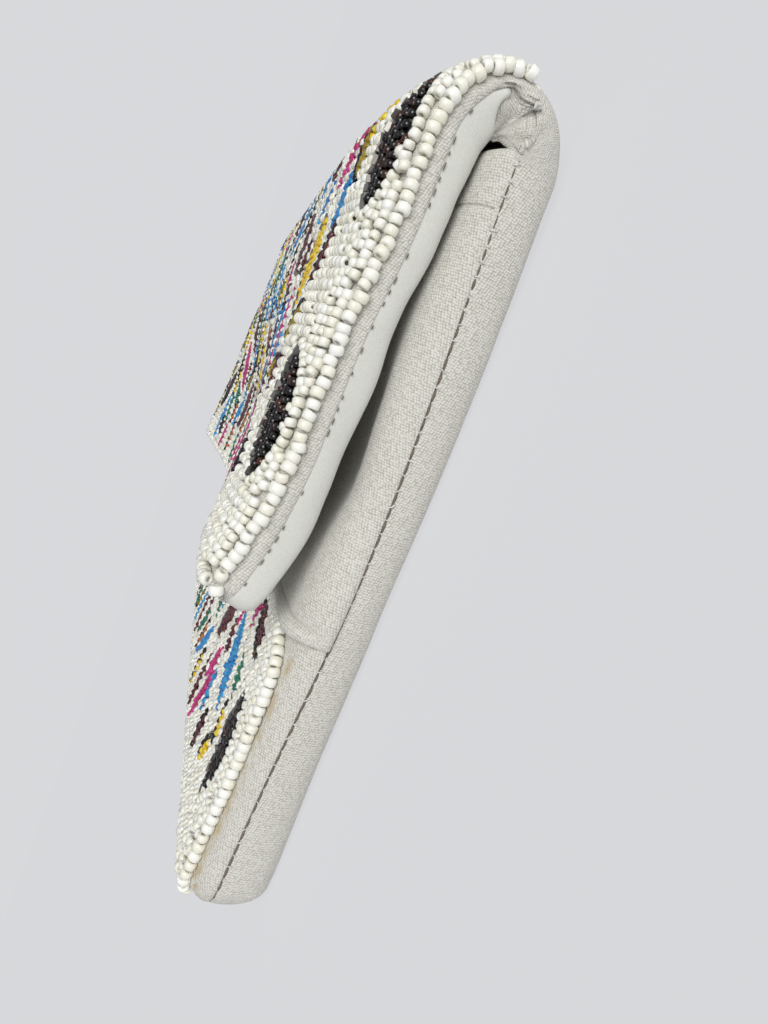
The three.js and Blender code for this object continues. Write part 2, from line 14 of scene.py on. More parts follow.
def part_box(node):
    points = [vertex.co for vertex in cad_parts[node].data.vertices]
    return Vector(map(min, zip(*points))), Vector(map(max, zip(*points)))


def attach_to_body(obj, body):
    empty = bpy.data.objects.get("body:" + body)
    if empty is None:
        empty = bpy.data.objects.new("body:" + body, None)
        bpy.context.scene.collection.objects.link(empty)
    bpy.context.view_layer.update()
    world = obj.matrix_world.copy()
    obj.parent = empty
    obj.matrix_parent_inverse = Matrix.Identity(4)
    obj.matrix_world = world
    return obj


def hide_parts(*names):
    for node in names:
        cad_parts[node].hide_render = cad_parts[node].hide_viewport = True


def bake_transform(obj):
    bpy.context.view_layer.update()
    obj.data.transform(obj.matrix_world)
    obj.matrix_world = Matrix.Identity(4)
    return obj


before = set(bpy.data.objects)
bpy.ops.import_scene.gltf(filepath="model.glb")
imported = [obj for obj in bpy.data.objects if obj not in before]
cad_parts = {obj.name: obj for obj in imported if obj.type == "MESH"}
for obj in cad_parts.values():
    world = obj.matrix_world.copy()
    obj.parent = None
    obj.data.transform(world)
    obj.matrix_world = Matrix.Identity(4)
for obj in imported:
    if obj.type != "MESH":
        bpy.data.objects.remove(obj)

log = logging.getLogger("clutch_bag")

MM = 0.001
QUARTER = math.pi / 2
Array = np.ndarray
Surface = Callable[[Array, Array, Array], Array]


def smooth(value: Array, low: float, high: float) -> Array:
    """Eases from 0 at low to 1 at high."""
    t = np.clip((value - low) / (high - low), 0.0, 1.0)
    return t * t * (3.0 - 2.0 * t)


def spread(*stops: tuple[float, float, int]) -> Array:
    """Joins evenly spaced runs into one list of stations.

    Args:
        stops: for each run its first value, last value and number of steps.

    Returns:
        The stations, each value once.
    """
    runs = [np.linspace(first, last, steps + 1) for first, last, steps in stops]
    return np.unique(np.round(np.concatenate(runs), 6))


def rows_of(*columns: Array | float) -> Array:
    """Joins columns, of which some may be single numbers, into rows."""
    return np.stack(np.broadcast_arrays(*columns), axis=1)


def unit(vectors: Array) -> Array:
    """Makes each vector one long."""
    return vectors / np.maximum(np.linalg.norm(vectors, axis=1, keepdims=True), 1e-12)


@dataclass(frozen=True)
class BagForm:
    """Sizes of the bag in millimetres and the surfaces that its cloth follows.

    x runs across the bag, y from its bottom edge to the fold and z up from its back.
    """

    half: float = 135.0
    body_height: float = 156.0
    fold_start: float = 154.0
    fold_radius: float = 14.0
    end_radius: float = 9.0
    bottom_radius: float = 6.0
    front_bottom_radius: float = 4.5
    corner_radius: float = 8.0
    lower_panel: float = 59.0
    panel_step: float = 3.0
    step_radius: float = 4.0
    ramp: float = 14.0
    upper_front: float = 19.0
    front_puff: float = 5.0
    front_dip: float = 2.0
    waist: float = 1.8
    mouth_taper: float = 1.6
    hollow: float = 3.4
    low_waist: float = 1.7
    facing_width: float = 11.0
    flap_half: float = 134.0
    flap_edge: float = 63.0
    flap_edge_radius: float = 4.0
    flap_thickness: float = 7.0
    flap_corner_radius: float = 3.5
    flap_seam: float = 4.4
    tip_seam: float = 0.6
    fold_seam: float = -0.5
    fold_seam_start: float = 8.0
    fold_seam_length: float = 40.0
    fold_bulge: float = 2.0
    fold_lift: float = 1.3
    fold_drop: float = 1.8
    sag: float = 1.1
    toe: float = 1.0
    flap_puff: float = 5.3
    flap_dip: float = 1.0
    shoulder: float = 28.0
    dimple_half: float = 114.0
    edge_thinning: float = 0.35
    corner_lift: float = 6.5
    lift_length: float = 32.0
    puff_start: float = 82.0
    puff_length: float = 50.0
    seam_lip: float = 0.5
    back_fullness: float = 1.5
    flap_lip: float = 0.3
    seam_y: tuple[float, ...] = (0.0, 27.0, 51.0, 75.0, 109.0, 140.0, 156.0)
    seam_z: tuple[float, ...] = (11.3, 10.7, 9.3, 8.0, 8.9, 10.6, 11.7)
    seam_softening: int = 8
    groove_share: float = 0.85
    sag_length: float = 30.0
    toe_length: float = 26.0
    step_taper: float = 3.0
    low_waist_fade: tuple[float, float] = (84.0, 114.0)
    mouth_taper_rise: tuple[float, float] = (112.0, 145.0)
    hollow_rise: tuple[float, float] = (72.0, 94.0)
    hollow_fall: tuple[float, float] = (108.0, 134.0)
    hollow_inner: tuple[float, float] = (70.0, 98.0)
    hollow_outer: tuple[float, float] = (114.0, 136.0)
    fold_lift_start: float = 118.0
    boxy_fade: tuple[float, float] = (1.85, 2.3)
    tip_seam_length: float = 36.0
    thinning_length: float = 22.0
    fold_drop_rise: tuple[float, float] = (2.0, 18.0)
    fold_drop_fall: tuple[float, float] = (34.0, 66.0)
    fold_drop_ends: tuple[float, float] = (76.0, 126.0)
    over_crest: float = 0.5
    y_shift: float = 85.046

    @property
    def fold_length(self) -> float:
        """Length of the flap's half of the fold."""
        return self.fold_radius * QUARTER

    @property
    def flap_length(self) -> float:
        """Crease of the fold to the flap's lower edge."""
        return self.fold_length + self.fold_start - self.flap_edge

    @property
    def flap_face(self) -> float:
        """Crease of the fold to the turn of the flap's lower edge."""
        return self.flap_length - self.flap_edge_radius

    @property
    def upper_start(self) -> float:
        """Height at which the plain front has risen over its step."""
        return self.lower_panel + self.step_radius

    def row(self, points: Array) -> Array:
        """Puts points in the row's frame, in metres."""
        return (points - np.array((0.0, self.y_shift, 0.0))) * MM

    def puff(self, x: Array) -> Array:
        """Share of the full puff at x: all of it in the middle, none at the ends."""
        return 1.0 - (x / self.half) ** 2

    def seam(self, y: Array) -> Array:
        """Height of the side seam above the back."""
        fine = np.linspace(self.seam_y[0], self.seam_y[-1], 79)
        level = np.pad(np.interp(fine, self.seam_y, self.seam_z), self.seam_softening, mode="edge")
        window = 2 * self.seam_softening + 1
        level = np.convolve(level, np.ones(window) / window, "valid")
        return np.interp(y, fine, level)

    def half_at(self, y: Array) -> Array:
        """Half width of the body at a height, rounded at the bottom corners."""
        inside = np.clip(1.0 - y / self.corner_radius, 0.0, 1.0)
        return self.half - self.corner_radius * (1.0 - np.sqrt(1.0 - inside**2))

    def turn_in(
        self, a: Array, half: Array, radius: Array, depth: Array, lip: float = 0.5, fullness: Array = 1.0
    ) -> tuple[Array, Array]:
        """Turns a panel's end in towards its seam.

        Args:
            a: up to 1 on the face, 1 to 2 round the end, 2 to 3 into the seam's groove.
            half: half width of the panel.
            radius: how far the end curves in.
            depth: depth of the seam below the panel's face.
            lip: radius of the groove's edge.
            fullness: 1 for a round end, more for a boxier one.

        Returns:
            x, and the depth below the face.
        """
        size = np.abs(a)
        angle = np.clip(size - 1.0, 0.0, 1.0) * QUARTER
        groove = np.clip(size - 2.0, 0.0, 1.0) * QUARTER
        face = np.minimum(size, 1.0) * (half - radius)
        x = face + radius * np.sin(angle) - lip * (1.0 - np.cos(groove))
        sunk = (depth - lip) * (1.0 - np.cos(angle)) ** fullness
        sunk = sunk + self.groove_share * lip * np.sin(groove)
        return np.sign(a) * x, sunk

    def back(self, a: Array, t: Array) -> Array:
        """Back of the bag: t 0 to 1 round its bottom, to 2 up its face, to 3 at the fold's crease."""
        bottom = np.clip(1.0 - t, 0.0, 1.0) * QUARTER
        fold = np.clip(t - 2.0, 0.0, 1.0)
        rise = self.fold_start - self.bottom_radius
        y = self.bottom_radius * (1.0 - np.sin(bottom)) + rise * np.clip(t - 1.0, 0.0, 1.0)
        seam = self.seam(y) * (1.0 - fold) + (self.flap_seam + self.fold_seam) * fold
        half = self.half_at(y) - (self.half - self.flap_half) * fold
        radius = self.end_radius + (self.flap_edge_radius - self.end_radius) * fold
        lip = self.seam_lip + (self.flap_lip - self.seam_lip) * fold
        fullness = self.back_fullness + (1.0 - self.back_fullness) * smooth(t, *self.boxy_fade)
        x, sunk = self.turn_in(a, half, radius, seam, lip, fullness)
        sunk = seam * (1.0 - np.cos(bottom) * (1.0 - sunk / seam))
        ring = self.fold_radius - sunk
        bulge = self.fold_bulge * self.pillow(x) * smooth(fold, 0.0, 1.0)
        lift = self.fold_lift * smooth(y, self.fold_lift_start, self.fold_start)
        lift = lift * (1.0 - smooth(fold, 0.0, 1.0))
        z = self.fold_radius - ring * np.cos(fold * QUARTER) + lift
        y = self.sagged(y) + (ring + bulge) * np.sin(fold * QUARTER)
        return rows_of(x, y, z)

    def sagged(self, y: Array) -> Array:
        """Height of a point of the pocket, whose bottom sags a little."""
        return y - self.sag * (1.0 - smooth(y, 0.0, self.sag_length))

    def front_rise(self, x: Array, y: Array) -> Array:
        """Rise of the front above its flat form."""
        puff_end = self.puff_start + self.puff_length
        middle = (self.front_puff + self.front_dip) * smooth(y, self.puff_start, puff_end)
        middle = middle - self.front_dip * smooth(y, 0.0, self.lower_panel)
        above = smooth(y, self.lower_panel, self.lower_panel + self.step_taper)
        low = self.low_waist * (1.0 - smooth(y, *self.low_waist_fade))
        taper = above * (self.waist + low + self.mouth_taper * smooth(y, *self.mouth_taper_rise))
        puff = self.puff(x)
        under_flap = smooth(y, *self.hollow_rise) * (1.0 - smooth(y, *self.hollow_fall))
        beside = smooth(np.abs(x), *self.hollow_inner) * (1.0 - smooth(np.abs(x), *self.hollow_outer))
        toe = self.toe * (1.0 - smooth(y, 0.0, self.toe_length))
        return middle * puff + toe - taper * (1.0 - puff) - self.hollow * under_flap * beside

    def core(self, a: Array, b: Array) -> Array:
        """Front as its inner layers follow it, with a ramp in place of the step."""
        return self.front(a, b, True)

    def front(self, a: Array, b: Array, ramped: bool = False) -> Array:
        """Front of the bag.

        Args:
            a: place across, as for turn_in.
            b: 0 to 1 round its bottom, to 2 up the beaded panel, to 3 over the step, to 4 at the mouth.
            ramped: whether a ramp stands in place of the step.

        Returns:
            The points.
        """
        rounding = np.clip(b, 0.0, 1.0) * QUARTER
        step = np.clip(b - 2.0, 0.0, 1.0) * QUARTER
        y = self.front_bottom_radius * (1.0 - np.cos(rounding))
        y = y + (self.lower_panel - self.front_bottom_radius) * np.clip(b - 1.0, 0.0, 1.0)
        y = y + self.step_radius * (1.0 - np.cos(step))
        y = y + (self.body_height - self.upper_start) * np.maximum(b - 3.0, 0.0)
        seam = self.seam(y)
        risen = smooth(y, self.lower_panel, self.lower_panel + self.ramp) if ramped else np.sin(step)
        flat = self.upper_front - self.panel_step * (1.0 - risen)
        x, _ = self.turn_in(a, self.half_at(y), self.end_radius, 1.0)
        deep = flat + self.front_rise(x, y) - seam
        x, sunk = self.turn_in(a, self.half_at(y), self.end_radius, deep)
        z = seam + (deep - sunk) * np.sin(rounding)
        return rows_of(x, self.sagged(y), z)

    def front_b(self, y: float) -> float:
        """b of the plain front at a height above the bottom edge."""
        return 3.0 + (y - self.upper_start) / (self.body_height - self.upper_start)

    def pillow(self, x: Array) -> Array:
        """Share of the flap's puff at x: all of it but for a rounded shoulder at each end."""
        over = np.clip((np.abs(x) - self.half + self.shoulder) / self.shoulder, 0.0, 1.0)
        return 1.0 - over**2

    def flap_half_at(self, s: Array) -> Array:
        """Half width of the flap, rounded at its lower corners."""
        radius = self.flap_corner_radius
        inside = np.clip(1.0 - (self.flap_length - s) / radius, 0.0, 1.0)
        return self.flap_half - radius * (1.0 - np.sqrt(1.0 - inside**2))

    def flap_seam_at(self, s: Array) -> Array:
        """Depth of the seam between the flap's canvas and its lining, least at the fold."""
        past = smooth(s, self.fold_seam_start, self.fold_seam_start + self.fold_seam_length)
        tip = smooth(s, self.flap_length - self.tip_seam_length, self.flap_length)
        return self.flap_seam + self.fold_seam * (1.0 - past) + self.tip_seam * tip

    def flap(self, x: Array, s: Array) -> Array:
        """Top of the flap's canvas before its edges turn down, s along it from the crease.

        A little below 0, s carries on over the crease to the back.
        """
        pillow = self.pillow(x)
        angle = np.clip(s / self.fold_radius, -self.over_crest, QUARTER)
        reach = self.fold_radius + self.fold_bulge * pillow
        y = self.fold_start + reach * np.cos(angle) - np.maximum(s - self.fold_length, 0.0)
        past_edge = smooth(y, self.flap_edge, self.flap_edge + self.thinning_length)
        thin = self.edge_thinning * (1.0 - past_edge)
        rise = self.flap_puff * (1.0 - thin)
        puff_end = self.puff_start + self.puff_length
        dimple = np.clip(1.0 - (x / self.dimple_half) ** 2, 0.0, 1.0) ** 2
        held = (rise + self.flap_dip) * (1.0 - smooth(y, self.puff_start, puff_end)) * dimple
        lift = np.maximum(self.flap_edge + self.lift_length - y, 0.0) / self.lift_length
        raised = self.corner_lift * lift**2 * (1.0 - self.puff(x))
        near_fold = smooth(s, *self.fold_drop_rise) * (1.0 - smooth(s, *self.fold_drop_fall))
        raised = raised - self.fold_drop * near_fold * smooth(np.abs(x), *self.fold_drop_ends)
        z = self.fold_radius + (self.fold_radius + rise * pillow) * np.sin(angle) - held + raised
        return rows_of(x, y, z)

    def sunk_flap(self, x: Array, s: Array, depth: Array) -> Array:
        """A point below the top of the flap, square to it."""
        step = 1e-2
        along_x = self.flap(x + step, s) - self.flap(x - step, s)
        along_s = self.flap(x, s + step) - self.flap(x, s - step)
        normal = unit(np.cross(along_x, along_s))
        return self.flap(x, s) + normal * np.asarray(depth)[..., None]

    def flap_shell(self, a: Array, s: Array) -> Array:
        """Outside of the flap's canvas, with its ends and lower edge turned down."""
        seam = self.flap_seam_at(s)
        x, sunk = self.turn_in(a, self.flap_half_at(s), self.flap_edge_radius, seam, self.flap_lip)
        over = np.arcsin(np.clip((s - self.flap_face) / self.flap_edge_radius, 0.0, 1.0))
        keep = (1.0 - sunk / seam) * np.cos(over)
        return self.sunk_flap(x, s, seam * (1.0 - keep))

    def across(self, x: Array, half: Array, radius: float) -> Array:
        """Place across a panel, as turn_in takes it, of a place on its face or its rounded end."""
        face = half - radius
        over = np.arcsin(np.clip((np.abs(x) - face) / radius, 0.0, 1.0)) / QUARTER
        return np.where(over > 0.0, np.sign(x) * (1.0 + over), x / face)

    def flap_beads(self, x: Array, s: Array) -> Array:
        """Canvas under the flap's beads, by x and by the length along the flap."""
        return self.flap_shell(self.across(x, self.flap_half_at(s), self.flap_edge_radius), s)

    def front_beads(self, x: Array, y: Array) -> Array:
        """Canvas under the beads of the lower front, by x and by the height above the bottom edge."""
        a = self.across(x, self.half_at(y), self.end_radius)
        lower = np.arccos(np.clip(1.0 - y / self.front_bottom_radius, 0.0, 1.0)) / QUARTER
        upper = (y - self.front_bottom_radius) / (self.lower_panel - self.front_bottom_radius)
        return self.front(a, np.where(upper > 0.0, 1.0 + upper, lower))


FORM = BagForm(y_shift=-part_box("back_canvas")[0].y / MM)


def lowered(surface: Callable[[Array, Array], Array], facing: float) -> Surface:
    """Lets the points of a surface be lowered square to it.

    Args:
        surface: gives points by two parameters.
        facing: 1 or -1, for the side that the surface turns out to.

    Returns:
        The surface with a third parameter, the depth below it.
    """

    def at(u: Array, v: Array, depth: Array) -> Array:
        """A point at a depth below the surface."""
        step = 1e-3
        along_u = surface(u + step, v) - surface(u - step, v)
        along_v = surface(u, v + step) - surface(u, v - step)
        normal = unit(np.cross(along_u, along_v))
        return surface(u, v) - facing * normal * np.asarray(depth)[..., None]

    return at


class Value:
    """A shader socket whose arithmetic adds Math nodes."""

    def __init__(self, graph: "Graph", socket: bpy.types.NodeSocket) -> None:
        """Keeps the graph and the socket."""
        self.graph = graph
        self.socket = socket

    def _math(self, operation: str, *others: "Value | float") -> "Value":
        """Adds one Math node."""
        return self.graph.math(operation, self, *others)

    def __add__(self, other: "Value | float") -> "Value":
        """Sum."""
        return self._math("ADD", other)

    __radd__ = __add__

    def __mul__(self, other: "Value | float") -> "Value":
        """Product."""
        return self._math("MULTIPLY", other)

    __rmul__ = __mul__

    def __sub__(self, other: "Value | float") -> "Value":
        """Difference."""
        return self._math("SUBTRACT", other)

    def __rsub__(self, other: float) -> "Value":
        """Difference from a number."""
        return self.graph.math("SUBTRACT", other, self)

    def __truediv__(self, other: "Value | float") -> "Value":
        """Quotient."""
        return self._math("DIVIDE", other)

    def eased(self, low: float, high: float) -> "Value":
        """Eases from 0 at low to 1 at high."""
        made = self.graph.node(
            "ShaderNodeMapRange",
            {"interpolation_type": "SMOOTHSTEP"},
            {"Value": self, "From Min": low, "From Max": high},
        )
        return Value(self.graph, made.outputs["Result"])


class Graph:
    """Node tree of one material, ending in a Principled shader."""

    def __init__(self, name: str) -> None:
        """Makes the material."""
        self.material = bpy.data.materials.new(name)
        self.material.use_nodes = True
        self.tree = self.material.node_tree
        self.shader = self.tree.nodes["Principled BSDF"]

    def node(self, kind: str, settings: dict | None = None, inputs: dict | None = None) -> bpy.types.Node:
        """Adds a node.

        Args:
            kind: the node's type.
            settings: properties of the node, set first.
            inputs: values or links of its sockets, by name or number.

        Returns:
            The node.
        """
        made = self.tree.nodes.new(kind)
        for key, value in (settings or {}).items():
            setattr(made, key, value)
        for key, value in (inputs or {}).items():
            self.feed(made.inputs[key], value)
        return made

    def feed(self, socket: bpy.types.NodeSocket, value: object) -> None:
        """Links a socket or sets its number."""
        if isinstance(value, Value):
            value = value.socket
        if isinstance(value, bpy.types.NodeSocket):
            self.tree.links.new(value, socket)
        elif isinstance(value, (tuple, list)) and socket.type == "RGBA":
            socket.default_value = (*value, 1.0)[:4]
        else:
            socket.default_value = value

    def math(self, operation: str, *values: "Value | float") -> Value:
        """Adds a Math node on values and numbers."""
        made = self.node("ShaderNodeMath", {"operation": operation}, dict(enumerate(values)))
        return Value(self, made.outputs[0])

    def mix(self, factor: "Value | float", first: object, second: object) -> bpy.types.NodeSocket:
        """Mixes two colours."""
        made = self.node("ShaderNodeMix", {"data_type": "RGBA"}, {0: factor, 6: first, 7: second})
        return made.outputs[2]

    def attribute(self, name: str) -> Value:
        """Reads a number stored on the mesh."""
        return Value(self, self.node("ShaderNodeAttribute", {"attribute_name": name}).outputs["Fac"])

    def cloth(self) -> tuple[Value, Value]:
        """Place on the cloth in millimetres, across and along it."""
        uv = self.node("ShaderNodeUVMap", {"uv_map": "cloth"}).outputs[0]
        parts = self.node("ShaderNodeSeparateXYZ", None, {0: uv})
        return Value(self, parts.outputs[0]), Value(self, parts.outputs[1])

    def joined(self, x: Value, y: Value) -> bpy.types.NodeSocket:
        """Joins two values into a vector."""
        return self.node("ShaderNodeCombineXYZ", None, {0: x, 1: y, 2: 0.0}).outputs[0]

    def object_place(self) -> bpy.types.NodeSocket:
        """Place in the row's frame."""
        return self.node("ShaderNodeTexCoord").outputs["Object"]

    def cloud(self, place: bpy.types.NodeSocket, scale: float, detail: float = 2.0) -> Value:
        """Soft noise from 0 to 1."""
        made = self.node("ShaderNodeTexNoise", None, {"Vector": place, "Scale": scale, "Detail": detail})
        return Value(self, made.outputs[0])

    def crowns(self, place: bpy.types.NodeSocket, unevenness: float) -> tuple[Value, Value]:
        """Crowns of a weave, one to each unit: distance from the nearest and its own random number."""
        made = self.node(
            "ShaderNodeTexVoronoi", {"voronoi_dimensions": "2D"},
            {"Vector": place, "Scale": 1.0, "Randomness": unevenness},
        )
        tint = self.node("ShaderNodeSeparateColor", None, {0: made.outputs["Color"]})
        return Value(self, made.outputs["Distance"]), Value(self, tint.outputs[0])

    def surface(self, **inputs: object) -> None:
        """Feeds the shader's sockets, with spaces in their names written as underscores."""
        for key, value in inputs.items():
            self.feed(self.shader.inputs[key.replace("_", " ")], value)

    def bumped(self, height: Value, depth: float) -> None:
        """Gives the shader a bump of a depth in metres."""
        made = self.node("ShaderNodeBump", None, {"Strength": 1.0, "Distance": depth, "Height": height})
        self.feed(self.shader.inputs["Normal"], made.outputs[0])


@dataclass(frozen=True)
class ClothFinish:
    """Woven cloth. Lengths in millimetres."""

    name: str
    thread: tuple[float, float, float]
    gap: tuple[float, float, float]
    pitch: float
    depth: float
    roughness: float
    slub: float = 0.25
    slant: float = 0.3
    unevenness: float = 0.36
    weft_share: float = 0.86
    mottle: float = 0.3
    soil: float = 0.16
    soil_tint: float = 0.78
    sheen: float = 0.25
    stain: tuple[float, float, float] = (0.42, 0.29, 0.07)

    def material(self) -> bpy.types.Material:
        """Makes the plain weave, with uneven threads, painted shade in the gaps between them and a little
        soil.
        """
        graph = Graph(self.name)
        across, along = graph.cloth()
        wander = (graph.cloud(graph.joined(across, along), 0.55, 1.0) - 0.5) * self.slub
        warp = (across + along * self.slant) / self.pitch + wander * 2.0
        weft = along / (self.weft_share * self.pitch) - wander * 1.6
        crown, tone = graph.crowns(graph.joined(warp, weft), self.unevenness)
        height = 1.0 - crown * 1.25
        fluff = graph.cloud(graph.joined(across, along), 3.2, 3.0)
        # Crowns of the threads lighter, gaps between them darker: painted shade of the weave, varied at
        # random by each crown's tone and by fluff.
        lit = (height + (tone - 0.5) * self.mottle + (fluff - 0.5) * self.mottle).eased(0.05, 0.85)
        colour = graph.mix(lit, self.gap, self.thread)
        soil = graph.cloud(graph.object_place(), 38.0, 3.0).eased(0.45, 0.8) * self.soil
        colour = graph.mix(soil, colour, tuple(self.soil_tint * c for c in self.thread))
        glue = graph.attribute("stain") * graph.cloud(graph.object_place(), 260.0).eased(0.3, 0.62)
        colour = graph.mix(glue, colour, self.stain)
        graph.surface(Base_Color=colour, Roughness=self.roughness)
        graph.surface(Sheen_Weight=self.sheen, Sheen_Roughness=0.5, Specular_IOR_Level=0.2)
        graph.bumped(height * (0.7 + 0.3 * tone) + fluff * 0.35, self.depth * MM)
        return graph.material


@dataclass(frozen=True)
class GlassFinish:
    """Seed beads of one colour, with a tone of their own for each bead."""

    name: str
    colour: tuple[float, float, float]
    other: tuple[float, float, float]
    rare: float = 0.5
    roughness: float = 0.16
    metallic: float = 0.0
    coat: float = 0.4
    milkiness: float = 0.0
    glow_depth: float = 0.9
    glow_colour: tuple[float, float, float] = (1.0, 0.95, 0.8)

    def material(self) -> bpy.types.Material:
        """Makes the glass."""
        graph = Graph(self.name)
        tone = graph.attribute("tone")
        share = tone.eased(self.rare - 0.35, self.rare + 0.35)
        graph.surface(
            Base_Color=graph.mix(share, self.colour, self.other),
            Roughness=self.roughness + tone * 0.12,
            Metallic=self.metallic,
            Coat_Weight=self.coat,
            Coat_Roughness=0.06,
            Subsurface_Weight=self.milkiness,
            Subsurface_Radius=self.glow_colour,
            Subsurface_Scale=self.glow_depth * MM,
        )
        return graph.material


@dataclass(frozen=True)
class ThreadFinish:
    """Sewing thread of one colour."""

    name: str
    colour: tuple[float, float, float]

    def material(self) -> bpy.types.Material:
        """Makes the twisted thread."""
        graph = Graph(self.name)
        fibre = graph.cloud(graph.object_place(), 3500.0, 2.0)
        dark = tuple(0.55 * c for c in self.colour)
        graph.surface(Base_Color=graph.mix(fibre.eased(0.3, 0.7), dark, self.colour), Roughness=0.8)
        graph.bumped(fibre, 0.05 * MM)
        return graph.material


@dataclass(frozen=True)
class MetalFinish:
    """Plated metal of the snap."""

    name: str = "snap_nickel"
    colour: tuple[float, float, float] = (0.62, 0.58, 0.50)

    def material(self) -> bpy.types.Material:
        """Makes the nickel, with fine rubbed marks."""
        graph = Graph(self.name)
        rubbed = graph.cloud(graph.object_place(), 900.0, 4.0)
        dull = tuple(0.8 * c for c in self.colour)
        graph.surface(
            Base_Color=graph.mix(rubbed, dull, self.colour), Metallic=1.0, Roughness=0.2 + rubbed * 0.22
        )
        return graph.material


CANVAS = ClothFinish("cotton_canvas", (0.70, 0.685, 0.63), (0.43, 0.405, 0.35), 0.6, 0.15, 0.88, 0.3)
LINING = ClothFinish("cotton_lining", (0.69, 0.69, 0.64), (0.60, 0.595, 0.54), 0.34, 0.05, 0.72, 0.12)
WADDING = ClothFinish("wadding", (0.82, 0.82, 0.80), (0.70, 0.70, 0.68), 2.4, 0.5, 0.95, 0.8)
WHITE_THREAD = ThreadFinish("white_thread", (0.84, 0.82, 0.77))
# Dark thread; on the side seams its stitches also stand in for the shade in the seams' grooves: painted
# shade.
DARK_THREAD_AND_SHADE = ThreadFinish("dark_thread", (0.2, 0.16, 0.125))


class Colour(Enum):
    """Colours of the beads, with the finish and the record's slot of each."""

    WHITE = (
        GlassFinish("white_glass", (0.85, 0.82, 0.70), (0.91, 0.895, 0.82), roughness=0.2, milkiness=0.45),
        "white_beads",
    )
    BLACK = (
        GlassFinish("black_glass", (0.006, 0.005, 0.005), (0.10, 0.022, 0.006), 0.95, 0.05, coat=0.2),
        "black_beads",
    )
    GUNMETAL = (
        GlassFinish("gunmetal_glass", (0.2, 0.19, 0.17), (0.34, 0.325, 0.295), roughness=0.3, metallic=0.9),
        "black_beads",
    )
    YELLOW = (GlassFinish("yellow_glass", (0.78, 0.50, 0.008), (0.86, 0.66, 0.04), 0.5, 0.1), "yellow_beads")
    MAROON = (
        GlassFinish("maroon_glass", (0.07, 0.007, 0.012), (0.16, 0.012, 0.02), 0.8, 0.1), "maroon_beads"
    )
    BLUE = (GlassFinish("blue_glass", (0.01, 0.2, 0.52), (0.05, 0.34, 0.62), 0.6, 0.1), "blue_beads")
    MAGENTA = (GlassFinish("magenta_glass", (0.45, 0.01, 0.14), (0.6, 0.04, 0.24), 0.6, 0.1), "magenta_beads")
    GREEN = (GlassFinish("green_glass", (0.006, 0.13, 0.085), (0.02, 0.22, 0.13), 0.6, 0.1), "green_beads")
    AMBER = (GlassFinish("amber_glass", (0.40, 0.10, 0.006), (0.56, 0.2, 0.015), 0.6, 0.1), "yellow_beads")
    OLIVE = (GlassFinish("olive_glass", (0.27, 0.19, 0.006), (0.38, 0.28, 0.02), 0.6, 0.1), "yellow_beads")

    @property
    def finish(self) -> GlassFinish:
        """Finish of the glass."""
        return self.value[0]

    @property
    def slot(self) -> str:
        """The record's material slot."""
        return self.value[1]


class Finishes:
    """Materials, each made once."""

    def __init__(self) -> None:
        """Starts with none."""
        self.made: dict[str, bpy.types.Material] = {}

    def of(self, finish: ClothFinish | GlassFinish | ThreadFinish | MetalFinish) -> bpy.types.Material:
        """The material of a finish."""
        if finish.name not in self.made:
            self.made[finish.name] = finish.material()
        return self.made[finish.name]


def coordinates(mesh: bpy.types.Mesh) -> Array:
    """Vertex places of a mesh."""
    out = np.empty(len(mesh.vertices) * 3)
    mesh.vertices.foreach_get("co", out)
    return out.reshape(-1, 3)


